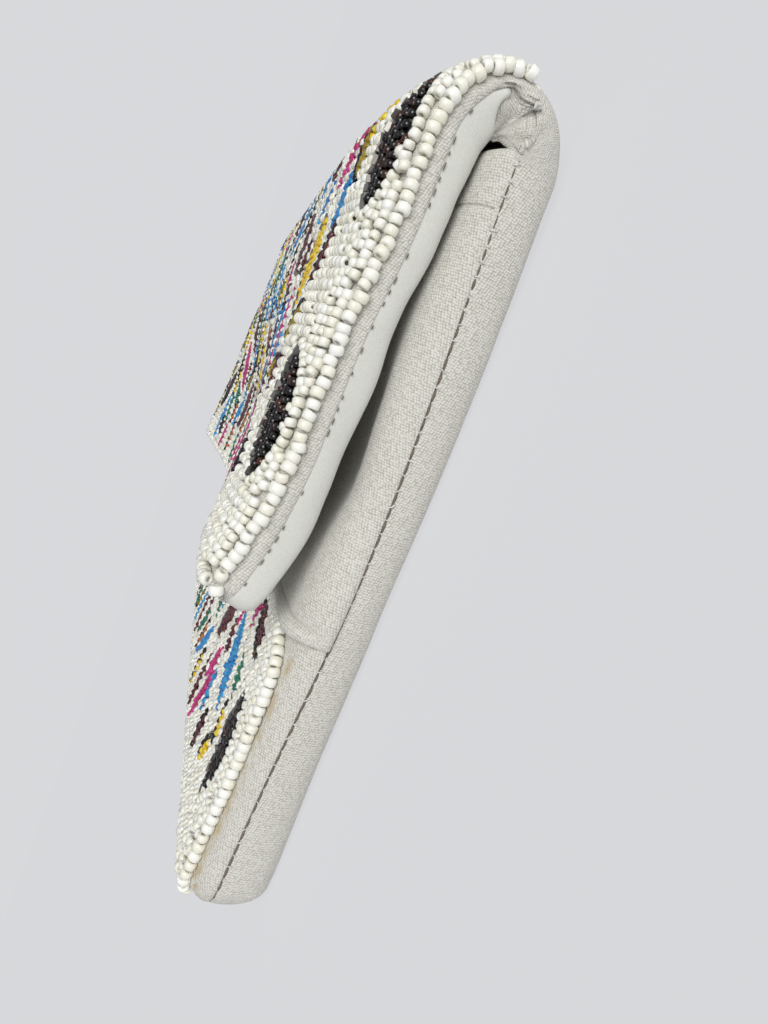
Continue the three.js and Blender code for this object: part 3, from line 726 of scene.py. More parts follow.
@dataclass
class Cloth:
    """A sheet of cloth laid on a surface of the bag.

    Args:
        name: the piece's name.
        surface: gives a point by u, v and the depth below the surface.
        u: stations across the sheet.
        v: stations along it.
        depth: depth at each station along it.
        thickness: of the cloth.
        facing: direction that the middle of the sheet looks to.
        crumple: height of its soft unevenness.
        ripple: length of that unevenness.
        end_crumple: height of the finer unevenness at its ends.
        seam_fade: stretch across it, round the seam, in which the unevenness dies away.
        bag_ends: stretch of x that counts as the ends.
    """

    name: str
    surface: Surface
    u: Array
    v: Array
    depth: Array | float = 0.0
    thickness: float = 0.9
    facing: tuple[float, float, float] = (0.0, 0.0, 1.0)
    crumple: float = 0.3
    ripple: float = 24.0
    end_crumple: float = 0.0
    seam_fade: tuple[float, float] = (1.75, 2.05)
    bag_ends: tuple[float, float] = (112.0, 131.0)

    def build(self) -> bpy.types.Object:
        """Makes the sheet's mesh with its cloth coordinates."""
        made = bmesh.new()
        bmesh.ops.create_grid(made, x_segments=len(self.u) - 1, y_segments=len(self.v) - 1, size=1.0)
        mesh = bpy.data.meshes.new(self.name)
        made.to_mesh(mesh)
        made.free()
        flat = coordinates(mesh)
        i = np.unique(np.round(flat[:, 0], 5), return_inverse=True)[1]
        j = np.unique(np.round(flat[:, 1], 5), return_inverse=True)[1]
        depth = np.broadcast_to(self.depth, self.v.shape)
        points = self.surface(self.u[i], self.v[j], depth[j])
        self._mark_cloth(mesh, points, i, j)
        self._place(mesh, points)
        self._crumple(mesh, points, 1.0 - smooth(np.abs(self.u[i]), *self.seam_fade))
        obj = bpy.data.objects.new(self.name, mesh)
        bpy.context.scene.collection.objects.link(obj)
        mesh.polygons.foreach_set("use_smooth", [True] * len(mesh.polygons))
        if self.thickness:
            wall = obj.modifiers.new("thickness", "SOLIDIFY")
            wall.thickness = self.thickness * MM
            wall.offset = -1.0
        return obj

    def _place(self, mesh: bpy.types.Mesh, points: Array) -> None:
        """Moves the vertices and turns the faces outwards."""
        self._set(mesh, points)
        facing = Vector(self.facing)
        if sum(face.normal.dot(facing) * face.area for face in mesh.polygons) < 0.0:
            mesh.flip_normals()
            mesh.update()

    def _crumple(self, mesh: bpy.types.Mesh, points: Array, loose: Array) -> None:
        """Makes the cloth a little uneven where it is loose, more so at its ends where that is asked."""
        if not self.crumple:
            return
        normals = np.array([v.normal for v in mesh.vertices])
        soft = np.array([noise.noise(Vector(p / self.ripple)) for p in points])
        fine = np.array([noise.noise(Vector(p / (0.3 * self.ripple)) + Vector((7, 1, 3))) for p in points])
        amount = self.crumple * (soft + 0.35 * fine)
        at_ends = smooth(np.abs(points[:, 0]), *self.bag_ends)
        amount = amount + self.end_crumple * at_ends * fine
        self._set(mesh, points + normals * (amount * loose)[:, None])

    def _set(self, mesh: bpy.types.Mesh, points: Array) -> None:
        """Writes vertex places."""
        mesh.vertices.foreach_set("co", FORM.row(points).astype(np.float32).ravel())
        mesh.update()

    def _mark_cloth(self, mesh: bpy.types.Mesh, points: Array, i: Array, j: Array) -> None:
        """Stores the place on the cloth, in millimetres, as a UV map."""
        lattice = np.empty((len(self.u), len(self.v), 3))
        lattice[i, j] = points
        centre = len(self.u) // 2
        spine = lattice[centre]
        steps = np.linalg.norm(np.diff(lattice, axis=0), axis=2)
        across = np.concatenate((np.zeros((1, len(self.v))), np.cumsum(steps, axis=0)))
        across = across - across[centre]
        along = np.concatenate(([0.0], np.cumsum(np.linalg.norm(np.diff(spine, axis=0), axis=1))))
        corners = np.empty(len(mesh.loops), dtype=np.int32)
        mesh.loops.foreach_get("vertex_index", corners)
        layer = mesh.uv_layers.new(name="cloth")
        pairs = rows_of(across[i[corners], j[corners]], along[j[corners]])
        layer.data.foreach_set("uv", pairs.astype(np.float32).ravel())


def finish_piece(
    obj: bpy.types.Object, material: bpy.types.Material, slot: str, nodes: Iterable[str] = ()
) -> bpy.types.Object:
    """Dresses a piece, hides the CAD nodes that it replaces and logs its face count.

    Args:
        obj: the piece.
        material: its finish.
        slot: the record's material slot; not used.
        nodes: the CAD nodes that it replaces.

    Returns:
        The piece.
    """
    obj.data.materials.clear()
    obj.data.materials.append(material)
    names = list(nodes)
    if names:
        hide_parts(*names)
    log.info("%s: %d faces", obj.name, len(obj.data.polygons))
    return obj


def cut_from(obj: bpy.types.Object, held: str, *rests_on: str) -> None:
    """Declares a piece as a sheet, with the size that its cloth was cut to.

    Args:
        obj: the piece, still one layer of faces.
        held: how the sheet is held; not used.
        rests_on: the pieces that it lies on; not used.
    """
    layer = obj.data.uv_layers["cloth"].data
    places = np.empty(len(layer) * 2, dtype=np.float32)
    layer.foreach_get("uv", places)


def crosses_fold(obj: bpy.types.Object) -> None:
    """Bakes the placement of a piece of the outside into its mesh."""
    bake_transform(obj)


def ends(turn_steps: int, lip_steps: int, face_steps: int) -> Array:
    """Stations across a panel, with its ends and the lips of its seams.

    Args:
        turn_steps: steps round each end.
        lip_steps: steps over each lip.
        face_steps: steps across the face.

    Returns:
        The stations, from -3 to 3.
    """
    turns = ((1.0, 2.0, turn_steps), (-2.0, -1.0, turn_steps))
    lips = ((2.0, 3.0, lip_steps), (-3.0, -2.0, lip_steps))
    return spread((-1.0, 1.0, face_steps), *turns, *lips)


@dataclass
class BagBody:
    """Back, front, facing, linings and waddings of the pocket."""

    finishes: Finishes
    canvas: float = 0.9
    hem_lip: float = 0.34
    step_lip: float = 1.3
    step_tuck: float = 0.9
    crease: float = 2.0
    crease_seed: int = 2
    crease_length: float = 2.4
    crease_start: float = 1.3
    fold_rise: tuple[float, float] = (2.05, 2.4)
    fold_fade: tuple[float, float] = (6.0, 12.0)
    turn_in: float = 1.4
    fold_end: tuple[float, float, float] = (130.6, 156.8, 16.6)
    under_step: float = 12.0
    hem_drop: float = 0.5
    step_sink: float = 0.35
    step_lip_end: float = 90.0
    glue_line: float = 132.0
    glue_width: tuple[float, float] = (0.1, 0.7)
    glue_strength: float = 0.75
    glue_above: float = 10.0
    wadding_depth: float = 1.4
    wadding: float = 1.6
    lining_depth: float = 3.6
    lining: float = 0.5

    def build(self) -> None:
        """Makes every sheet of the body."""
        self._outer_canvas()
        self._front_canvas()
        self._facing()
        self._inside()

    def _outer(self, a: Array, t: Array, depth: Array) -> Array:
        """Outer canvas: the back up to t 3, then the flap to 4 and its lower edge to 5."""
        held = np.clip(a, -3.0, 3.0)
        points = lowered(FORM.back, -1.0)(held, np.clip(t, 0.001, 2.999), depth)
        on_flap = t >= 3.0
        edge = np.sin(np.clip(t - 4.0, 0.0, 1.0) * QUARTER) * FORM.flap_edge_radius
        s = np.clip(t - 3.0, 0.0, 1.0) * FORM.flap_face + edge
        points[on_flap] = FORM.flap_shell(held[on_flap], s[on_flap])
        fold = smooth(t, *self.fold_rise) * (1.0 - smooth(s, *self.fold_fade))
        return self._tucked_in(points, a, fold)

    def _tucked_in(self, points: Array, a: Array, fold: Array) -> Array:
        """Turns the canvas in at its ends and crumples it into the open ends of the fold.

        Args:
            points: the canvas up to its seam.
            a: place across it, 3 to 4 past the seam.
            fold: 1 in the fold, 0 away from it.

        Returns:
            The canvas with its turned-in ends.
        """
        tail = np.maximum(np.abs(a) - 3.0, 0.0)[:, None]
        side = np.sign(a)[:, None]
        plain = points - side * np.array((self.turn_in, 0.0, 0.0))
        closed = rows_of(np.sign(a) * self.fold_end[0], *self.fold_end[1:])
        inner = plain + (closed - plain) * fold[:, None]
        points = points + tail * (inner - points)
        zone = fold * smooth(np.abs(a), self.crease_start, 3.0)
        noise.seed_set(self.crease_seed)
        shift = np.array([noise.noise_vector(Vector(p / self.crease_length)) for p in points])
        return points + shift * (self.crease * zone)[:, None]

    def _outer_canvas(self) -> None:
        """Back and flap, one length of canvas over the fold."""
        along = spread((0, 1, 8), (1, 2, 50), (2, 3, 26), (3, 3.2, 20), (3.2, 4, 44), (4, 5, 6))
        across = np.union1d(ends(9, 4, 72), spread((3, 4, 6), (-4, -3, 6)))
        sheet = Cloth("outer_canvas", self._outer, across, along, thickness=self.canvas)
        sheet.facing = (0.0, 0.0, -1.0)
        obj = sheet.build()
        finish_piece(obj, self.finishes.of(CANVAS), "canvas", ["back_canvas", "flap_canvas"])
        crosses_fold(obj)
        cut_from(obj, "folded", "back_pocket_wadding", "flap_padding")

    def _front_canvas(self) -> None:
        """Beaded lower panel and plain upper panel."""
        front = lowered(FORM.front, 1.0)
        across = ends(9, 4, 96)

        def tucked(a: Array, b: Array, depth: Array) -> Array:
            """Lower panel, carried on under the step past 2."""
            points = front(a, np.minimum(b, 2.0), depth)
            points[:, 1] += np.maximum(b - 2.0, 0.0) * self.under_step
            return points

        def proud(a: Array, b: Array, depth: Array) -> Array:
            """Upper panel, whose rounded end stands over the lower one up to the seams."""
            short_of_seam = 1.0 - smooth(np.abs(a), 1.8, 2.6)
            return front(a, b, np.where(depth < 0.0, depth * short_of_seam, depth))

        rows = spread((0.0, 1, 8), (1, 2, 30), (2, 2.2, 3))
        under = self.step_tuck * smooth(rows, 1.965, 2.1)
        lower = Cloth("lower_front_panel", tucked, across, rows, under, self.canvas)
        obj = lower.build()
        self._stain(obj)
        finish_piece(obj, self.finishes.of(CANVAS), "canvas", ["lower_front_canvas"])
        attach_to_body(obj, "bag")
        cut_from(obj, "stretched", "front_pocket_wadding")
        hem = FORM.front_b(FORM.body_height - FORM.facing_width)
        along = spread((2, 2.6, 9), (2.6, 3, 4), (3, hem - 0.012, 44), (hem - 0.012, hem + 0.02, 8))
        sunk = self.hem_lip * smooth(along, hem - 0.01, hem) + self.hem_drop * smooth(along, hem, hem + 0.008)
        sunk = sunk + self.step_sink * (1.0 - smooth(along, 2.0, 2.12))
        proud_end = 1.0 - smooth(along, 3.0, FORM.front_b(self.step_lip_end))
        sunk = sunk - self.step_lip * smooth(along, 2.02, 2.3) * proud_end
        upper = Cloth("upper_front_panel", proud, across, along, sunk, self.canvas)
        obj = finish_piece(upper.build(), self.finishes.of(CANVAS), "canvas", ["upper_front_canvas"])
        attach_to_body(obj, "bag")
        cut_from(obj, "stretched", "front_pocket_wadding")

    def _stain(self, obj: bpy.types.Object) -> None:
        """Marks the line of dried glue beside the edge string."""
        points = coordinates(obj.data) / MM
        off = np.abs(np.abs(points[:, 0]) - self.glue_line)
        marked = self.glue_strength * (1.0 - smooth(off, *self.glue_width)) * (points[:, 2] > self.glue_above)
        layer = obj.data.attributes.new("stain", "FLOAT", "POINT")
        layer.data.foreach_set("value", marked.astype(np.float32))

    def _facing(self) -> None:
        """Facing folded over the mouth edge."""
        hem = FORM.front_b(FORM.body_height - FORM.facing_width)
        per_mm = 1.0 / (FORM.body_height - FORM.upper_start)
        inside = self.lining_depth + self.lining
        ride_over = spread((0, 0.04, 4), (0.04, 1, 8), (1, 2, 8), (2, 3, 8))
        top = 4.0 - inside / 2 * per_mm
        turn = np.clip(ride_over - 1.0, 0.0, 1.0) * math.pi
        leg = np.clip(ride_over, 0.0, 1.0) - np.clip(ride_over - 2.0, 0.0, 1.0)
        b = hem + (top - hem) * leg + np.sin(turn) * inside / 2 * per_mm
        depth = inside / 2 * (1.0 - np.cos(turn)) + self.hem_lip * (1.0 - smooth(ride_over, 0.0, 0.04))
        front = lowered(FORM.front, 1.0)

        def surface(a: Array, r: Array, _: Array) -> Array:
            """Facing by the way over the edge."""
            reach = 2.0 + np.clip((1.0 - r) / 0.2, 0.0, 1.0) - 0.6 * smooth(r, 1.2, 2.0)
            bound = np.sign(a) * np.minimum(np.abs(a), reach)
            return front(bound, np.interp(r, ride_over, b), np.interp(r, ride_over, depth))

        sheet = Cloth("facing_band", surface, ends(7, 4, 72), ride_over, 0.0, self.canvas)
        sheet.facing = (0.0, 1.0, 0.0)
        obj = finish_piece(sheet.build(), self.finishes.of(CANVAS), "canvas", ["mouth_facing"])
        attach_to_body(obj, "bag")
        cut_from(obj, "folded", "upper_front_panel")

    def _inside(self) -> None:
        """Linings and waddings, mostly hidden."""
        back = lowered(FORM.back, -1.0)
        hem = FORM.front_b(FORM.body_height - FORM.facing_width)
        deep = self.lining_depth
        lining_across = spread((-1.7, 1.7, 60))
        wadding_across = spread((-1.3, 1.3, 30))
        core = lowered(FORM.core, 1.0)
        pocket = spread((0.35, 1, 6), (1, 2, 16), (2, hem, 24))
        pad = spread((0.6, 1, 3), (1, 2, 10), (2, hem, 20))
        rows = [
            ("back", "lining", back, spread((0.2, 1, 6), (1, 2, 40)), deep, (0, 0, 1)),
            ("front", "lining", core, pocket, deep + self.lining, (0, 0, -1)),
            ("back", "wadding", back, spread((0.5, 1, 3), (1, 1.97, 20)), self.wadding_depth, (0, 0, -1)),
            ("front", "wadding", core, pad, self.wadding_depth, (0, 0, 1)),
        ]
        for side, kind, surface, along, depth, facing in rows:
            lined = kind == "lining"
            across = lining_across if lined else wadding_across
            sheet = Cloth(f"{side}_pocket_{kind}", surface, across, along)
            sheet.depth = depth
            sheet.facing = facing
            sheet.thickness = self.lining if lined else self.wadding
            sheet.crumple = 0.25 if lined else 0.0
            finish = self.finishes.of(LINING if lined else WADDING)
            obj = finish_piece(sheet.build(), finish, kind, [f"{side}_{kind}"])
            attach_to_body(obj, "bag")
            if lined:
                cut_from(obj, "stretched", f"{side}_pocket_wadding")


@dataclass
class FlapInside:
    """Lining of the flap, rolled like piping along its edge, and its wadding."""

    finishes: Finishes
    roll: float = 2.3
    roll_out: float = 1.2
    tuck: float = 0.4
    start: float = 4.0
    pinch: float = 9.0
    depth: float = 7.3
    end_depth: float = 1.6
    filled_ends: tuple[float, float] = (94.0, 122.0)
    fold_fill: float = 1.2
    fold_fill_at: float = 17.0
    fold_fill_length: float = 11.0
    tip_fill: float = 0.5
    tip_fill_rise: tuple[float, float] = (78.0, 104.0)
    wave: float = 0.35
    wave_length: float = 15.0
    roll_growth: float = 11.0
    late_growth: tuple[float, float] = (40.0, 70.0)
    seam_overlap: float = 0.8
    fold_half: float = 126.0
    fold_turn: float = 3.0
    pocket_depth: float = 3.9
    pocket_edge: float = 5.5
    gather: float = 3.0
    gather_ends: tuple[float, float] = (108.0, 128.0)
    tail: float = 50.0
    tail_tuck: float = 1.2
    tail_blend: float = 11.0

    def build(self) -> None:
        """Makes the lining, its way through the fold and the wadding."""
        self._lining()
        self._fold_lining()
        self._wadding()

    def _edge(self, size: Array) -> tuple[Array, Array, Array]:
        """Section of the edge from the face at 1 to the seam at 2.

        Args:
            size: 1 to 2 round the roll.

        Returns:
            Share of the edge's width, turn from the face to the seam, and fullness of the roll.
        """
        angle = np.clip(size - 1.0, 0.0, 1.0) * QUARTER
        full = np.sin(np.clip(size - 1.0, 0.0, 1.0) * math.pi)
        return np.sin(angle), 1.0 - np.cos(angle), full

    def _surface(self, a: Array, b: Array, _: Array) -> Array:
        """Lining by its place across, and along from the start to 1 and round the lower edge to 2."""
        radius = FORM.flap_edge_radius
        wide, turn_a, full_a = self._edge(np.abs(a))
        long, turn_b, full_b = self._edge(b)
        s = self.start + np.minimum(b, 1.0) * (FORM.flap_face - self.start)
        s = s + (radius - self.tuck) * long + self.roll_out * full_b
        half = FORM.flap_half_at(np.minimum(s, FORM.flap_length))
        x = np.minimum(np.abs(a), 1.0) * (half - radius)
        x = x + (radius - self.tuck) * wide + self.roll_out * full_a
        turn = 1.0 - (1.0 - turn_a) * (1.0 - turn_b)
        places = rows_of(s / self.wave_length, np.sign(a), 2.0)
        wave = self.wave * np.array([noise.noise(Vector(place)) for place in places])
        pinched = 1.0 - smooth(s, self.start, self.start + self.pinch)
        grown = 0.75 * smooth(s, self.start, self.start + self.roll_growth)
        grown = grown + 0.25 * smooth(s, *self.late_growth)
        full = np.maximum(full_a * (1.0 - turn_b), full_b * (1.0 - turn_a)) * (1.0 + wave) * grown
        seam = FORM.flap_seam_at(s)
        from_fold_fill = (s - self.fold_fill_at) / self.fold_fill_length
        fill = self.end_depth + self.fold_fill * np.exp(-(from_fold_fill**2))
        fill = fill + self.tip_fill * smooth(s, *self.tip_fill_rise)
        filled = self.depth + fill * smooth(x, *self.filled_ends)
        base = filled * (1.0 - pinched) + (seam + self.end_depth) * pinched
        depth = base + (seam - self.seam_overlap - base) * turn + self.roll * full
        return FORM.sunk_flap(np.sign(a) * x, s, depth)

    def _lining(self) -> None:
        """Lining of the flap."""
        across = spread((-1, 1, 80), (1, 2, 14), (-2, -1, 14))
        along = spread((0, 0.2, 16), (0.2, 1, 60), (1, 2, 12))
        sheet = Cloth("flap_underside", self._surface, across, along, 0.0, 0.5, (0, 0, -1), 0.25, 18.0)
        sheet.end_crumple = 0.12
        obj = finish_piece(sheet.build(), self.finishes.of(LINING), "lining", ["flap_lining"])
        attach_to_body(obj, "flap")
        cut_from(obj, "stretched", "flap_padding")

    def _fold_surface(self, a: Array, t: Array, _: Array) -> Array:
        """Lining inside the fold, t from the flap's lining at 0 to the pocket's at 1."""
        angle = QUARTER * (1.0 - 2.0 * t)
        size = np.abs(a)
        wide, turn, _ = self._edge(size)
        x = np.sign(a) * (np.minimum(size, 1.0) * self.fold_half + self.fold_turn * wide)
        edge = FORM.flap_seam + FORM.fold_seam * smooth(t, 0.0, 0.5)
        edge = edge + self.pocket_edge * np.maximum(2.0 * t - 1.0, 0.0)
        gather = self.gather * smooth(np.abs(x), *self.gather_ends) * np.sin(math.pi * np.clip(t, 0.0, 1.0))
        face = FORM.flap_thickness + (self.pocket_depth - FORM.flap_thickness) * t + gather
        depth = face * (1.0 - turn) + turn * (edge + 0.5)
        ring = FORM.fold_radius - depth
        lift = FORM.flap_puff * FORM.puff(x) * np.clip(np.sin(angle), 0.0, 1.0)
        y = FORM.fold_start + ring * np.cos(angle)
        z = FORM.fold_radius + ring * np.sin(angle) + lift
        return rows_of(x, y, z)

    def _fold_lining(self) -> None:
        """Lining through the fold, gathered at its ends."""
        across = spread((-1, 1, 90), (1, 2, 10), (-2, -1, 10))
        along = spread((-0.32, 1.05, 36))
        sheet = Cloth("fold_lining", self._fold_tail, across, along, 0.0, 0.5, (0, -1, 0), 0.5, 16.0)
        sheet.end_crumple = 0.5
        obj = finish_piece(sheet.build(), self.finishes.of(LINING), "lining")
        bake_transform(obj)
        cut_from(obj, "gathered", "outer_canvas")

    def _fold_tail(self, a: Array, t: Array, depth: Array) -> Array:
        """Fold lining with its tail carried on behind the flap's lining."""
        points = self._fold_surface(a, np.clip(t, 0.0, 1.0), depth)
        tail = np.maximum(-t, 0.0) * self.tail
        points[:, 1] -= tail
        behind = FORM.sunk_flap(points[:, 0], FORM.fold_length + tail, self.depth - self.tail_tuck)
        return points + (behind - points) * smooth(tail, 0.0, self.tail_blend)[:, None]

    def _wadding(self) -> None:
        """Wadding of the flap, short of the fold."""
        rows = spread((FORM.fold_length + 1.0, FORM.flap_face, 20))
        sheet = Cloth("flap_padding", FORM.sunk_flap, spread((-129, 129, 30)), rows, 1.4, 4.2, crumple=0.0)
        obj = finish_piece(sheet.build(), self.finishes.of(WADDING), "wadding", ["flap_wadding"])
        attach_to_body(obj, "flap")


@dataclass(frozen=True)
class BeadKind:
    """Size of one kind of bead: its diameter and its length along the string."""

    diameter: float
    length: float


EDGE_BEAD = BeadKind(2.75, 2.02)
GROUND_BEAD = BeadKind(2.45, 1.86)
LEAF_BEAD = BeadKind(1.95, 1.7)
CUT_BEAD = BeadKind(2.05, 1.95)


@dataclass(frozen=True)
class Leaf:
    """A leaf motif: its middle, slant, colour and size."""

    x: float
    s: float
    angle: float
    colour: Colour
    length: float = 27.0
    width: float = 11.0
    tip: float = 1.6

    def local(self, x: Array, s: Array) -> tuple[Array, Array]:
        """Place along the leaf and across it."""
        dx, ds = x - self.x, s - self.s
        cos, sin = math.cos(self.angle), math.sin(self.angle)
        return dx * cos + ds * sin, ds * cos - dx * sin

    def placed(self, along: Array, wide: Array) -> tuple[Array, Array]:
        """Place on the panel of a place on the leaf."""
        cos, sin = math.cos(self.angle), math.sin(self.angle)
        return self.x + along * cos - wide * sin, self.s + along * sin + wide * cos

    def half_width(self, along: Array) -> Array:
        """Half width of the leaf at a place along it, below 0 past its tips."""
        p = np.abs(along) / (self.length / 2)
        return np.where(p <= 1.0, self.width / 2 * (1.0 - p * p) + self.tip / 2, -1.0)


class BeadPlan:
    """Places of the beads on one panel, no two in the same place."""

    cell = 3.2
    closeness = 0.78
    leaf_spacing = 0.93
    ground_spacing = 0.94
    ground_bow = 0.35

    def __init__(self, seed: int, reach: float) -> None:
        """Starts an empty panel whose beads end at a reach."""
        self.random = np.random.default_rng(seed)
        self.reach = reach
        self.beads: dict[Colour, list[tuple[float, float, float, float, float]]] = {}
        self.taken: dict[tuple[int, int], list[tuple[float, float, float]]] = {}

    def free(self, x: float, s: float, radius: float) -> bool:
        """True if a bead fits at a place."""
        column, row = int(x // self.cell), int(s // self.cell)
        for i in (column - 1, column, column + 1):
            for j in (row - 1, row, row + 1):
                for other_x, other_s, other in self.taken.get((i, j), ()):
                    reach = self.closeness * (radius + other)
                    if (x - other_x) ** 2 + (s - other_s) ** 2 < reach * reach:
                        return False
        return True

    def put(self, x: float, s: float, angle: float, kind: BeadKind, colour: Colour, first: bool) -> None:
        """Adds a bead where there is room, or in any case if it belongs to a first string."""
        radius = (kind.diameter + kind.length) / 4
        if not first and (abs(x) > self.reach or not self.free(x, s, radius)):
            return
        self.taken.setdefault((int(x // self.cell), int(s // self.cell)), []).append((x, s, radius))
        self.beads.setdefault(colour, []).append((x, s, angle, kind.diameter, kind.length))

    def string(
        self, points: Array, kind: BeadKind, colour: Colour, wander: float = 0.0, closed_up: float = 1.0,
        first: bool = False,
    ) -> None:
        """Threads beads along a line of points.

        Args:
            points: the line, by x and by length along the panel.
            kind: the beads.
            colour: their colour.
            wander: how far a bead may sit off the line.
            closed_up: spacing as a share of a bead's length.
            first: whether every bead is kept, as on a string that is laid before the rest.
        """
        steps = np.linalg.norm(np.diff(points, axis=0), axis=1)
        run = np.concatenate(([0.0], np.cumsum(steps)))
        count = max(int(run[-1] / (kind.length * closed_up)), 1)
        places = (np.arange(count) + 0.5) * run[-1] / count

        def at(reached: Array) -> Array:
            """Places on the line by the length along it."""
            return rows_of(*(np.interp(reached, run, column) for column in points.T))

        ahead = at(places + 0.5) - at(places - 0.5)
        middle = at(places) + self.random.uniform(-wander, wander, (count, 2))
        for (x, s), (ahead_x, ahead_s) in zip(middle.tolist(), ahead.tolist()):
            self.put(x, s, math.atan2(ahead_s, ahead_x), kind, colour, first)

    def leaf(self, leaf: Leaf, edge: Colour | None) -> None:
        """Fills a leaf with strings along it, one side edged in another colour."""
        inset = LEAF_BEAD.diameter / 2
        run = np.linspace(-leaf.length / 2, leaf.length / 2, 40)
        if edge is not None:
            wide = np.maximum(leaf.half_width(run) - inset, 0.2)
            self.string(rows_of(*leaf.placed(run, wide)), CUT_BEAD, edge, 0.08, 1.06)
        lines = int(leaf.width / LEAF_BEAD.diameter) + 2
        for k in sorted(range(-lines, lines + 1), key=abs):
            wide = k * LEAF_BEAD.diameter * self.leaf_spacing
            inside = run[leaf.half_width(run) - inset * 0.8 >= abs(wide)]
            if len(inside) > 1:
                self.string(rows_of(*leaf.placed(inside, wide)), LEAF_BEAD, leaf.colour, 0.12)

    def outline(self, leaf: Leaf, kind: BeadKind) -> None:
        """Lays a white string round a leaf."""
        run = np.linspace(-leaf.length / 2 - 0.6, leaf.length / 2 + 0.6, 50)
        p = np.clip(np.abs(run) / (leaf.length / 2), 0.0, 1.0)
        wide = leaf.width / 2 * (1.0 - p * p) + leaf.tip / 2 + kind.diameter * 0.55
        for side in (1.0, -1.0):
            self.string(rows_of(*leaf.placed(run, side * wide)), kind, Colour.WHITE, 0.1)

    def ground(self, half: Callable[[float], float], first: float, last: float) -> None:
        """Fills what is left with rows of white beads across the panel."""
        rows = int((last - first) / (GROUND_BEAD.diameter * self.ground_spacing))
        for row in range(rows + 1):
            s = first + (last - first) * row / rows
            reach = half(s)
            bow = self.random.uniform(-0.5, 0.5, 24)
            x = np.linspace(-reach, reach, 120)
            bowed = s + self.ground_bow * np.interp(x, np.linspace(-reach, reach, 24), bow)
            start = self.random.uniform(0.0, 1.6)
            keep = x > -reach + start
            self.string(rows_of(x[keep], bowed[keep]), GROUND_BEAD, Colour.WHITE, 0.16)


class Shapes:
    """Shapes that are set many times: seed beads, cut beads and stitches."""

    def __init__(self) -> None:
        """Makes the shapes."""
        rounded = (
            (-0.5, 0.18), (-0.475, 0.37), (-0.33, 0.485), (0.0, 0.5),
            (0.33, 0.485), (0.475, 0.37), (0.5, 0.18),
        )
        plain = ((-0.5, 0.2), (-0.34, 0.485), (0.34, 0.485), (0.5, 0.2))
        cut = ((-0.5, 0.24), (-0.46, 0.46), (0.46, 0.46), (0.5, 0.24))
        thread = ((-0.5, 0.02), (-0.42, 0.3), (0.0, 0.5), (0.42, 0.3), (0.5, 0.02))
        self.fine = self._turned("fine_bead", rounded, 11, True)
        self.seed = self._turned("seed_bead", plain, 8, True)
        self.cut = self._turned("cut_bead", cut, 6, False)
        self.stitch = self._turned("stitch", thread, 6, True)

    def _turned(
        self, name: str, profile: Sequence[tuple[float, float]], steps: int, rounded: bool
    ) -> bpy.types.Object:
        """Spins a profile round the string's axis.

        Args:
            name: name of the shape.
            profile: places along the axis and distances from it.
            steps: facets round the axis.
            rounded: whether its faces are shaded smooth.

        Returns:
            The shape's object, kept out of the scene.
        """
        made = bmesh.new()
        ring = [made.verts.new((along, 0.0, radius)) for along, radius in profile]
        edges = [made.edges.new(pair) for pair in zip(ring, [*ring[1:], ring[0]])]
        bmesh.ops.spin(
            made, geom=[*ring, *edges], cent=(0, 0, 0), axis=(1, 0, 0), angle=2 * math.pi, steps=steps,
            use_merge=True, use_normal_flip=False, use_duplicate=False,
        )
        bmesh.ops.remove_doubles(made, verts=made.verts, dist=1e-5)
        bmesh.ops.recalc_face_normals(made, faces=made.faces)
        for face in made.faces:
            face.smooth = rounded
        mesh = bpy.data.meshes.new(name)
        made.to_mesh(mesh)
        made.free()
        return bpy.data.objects.new(name, mesh)


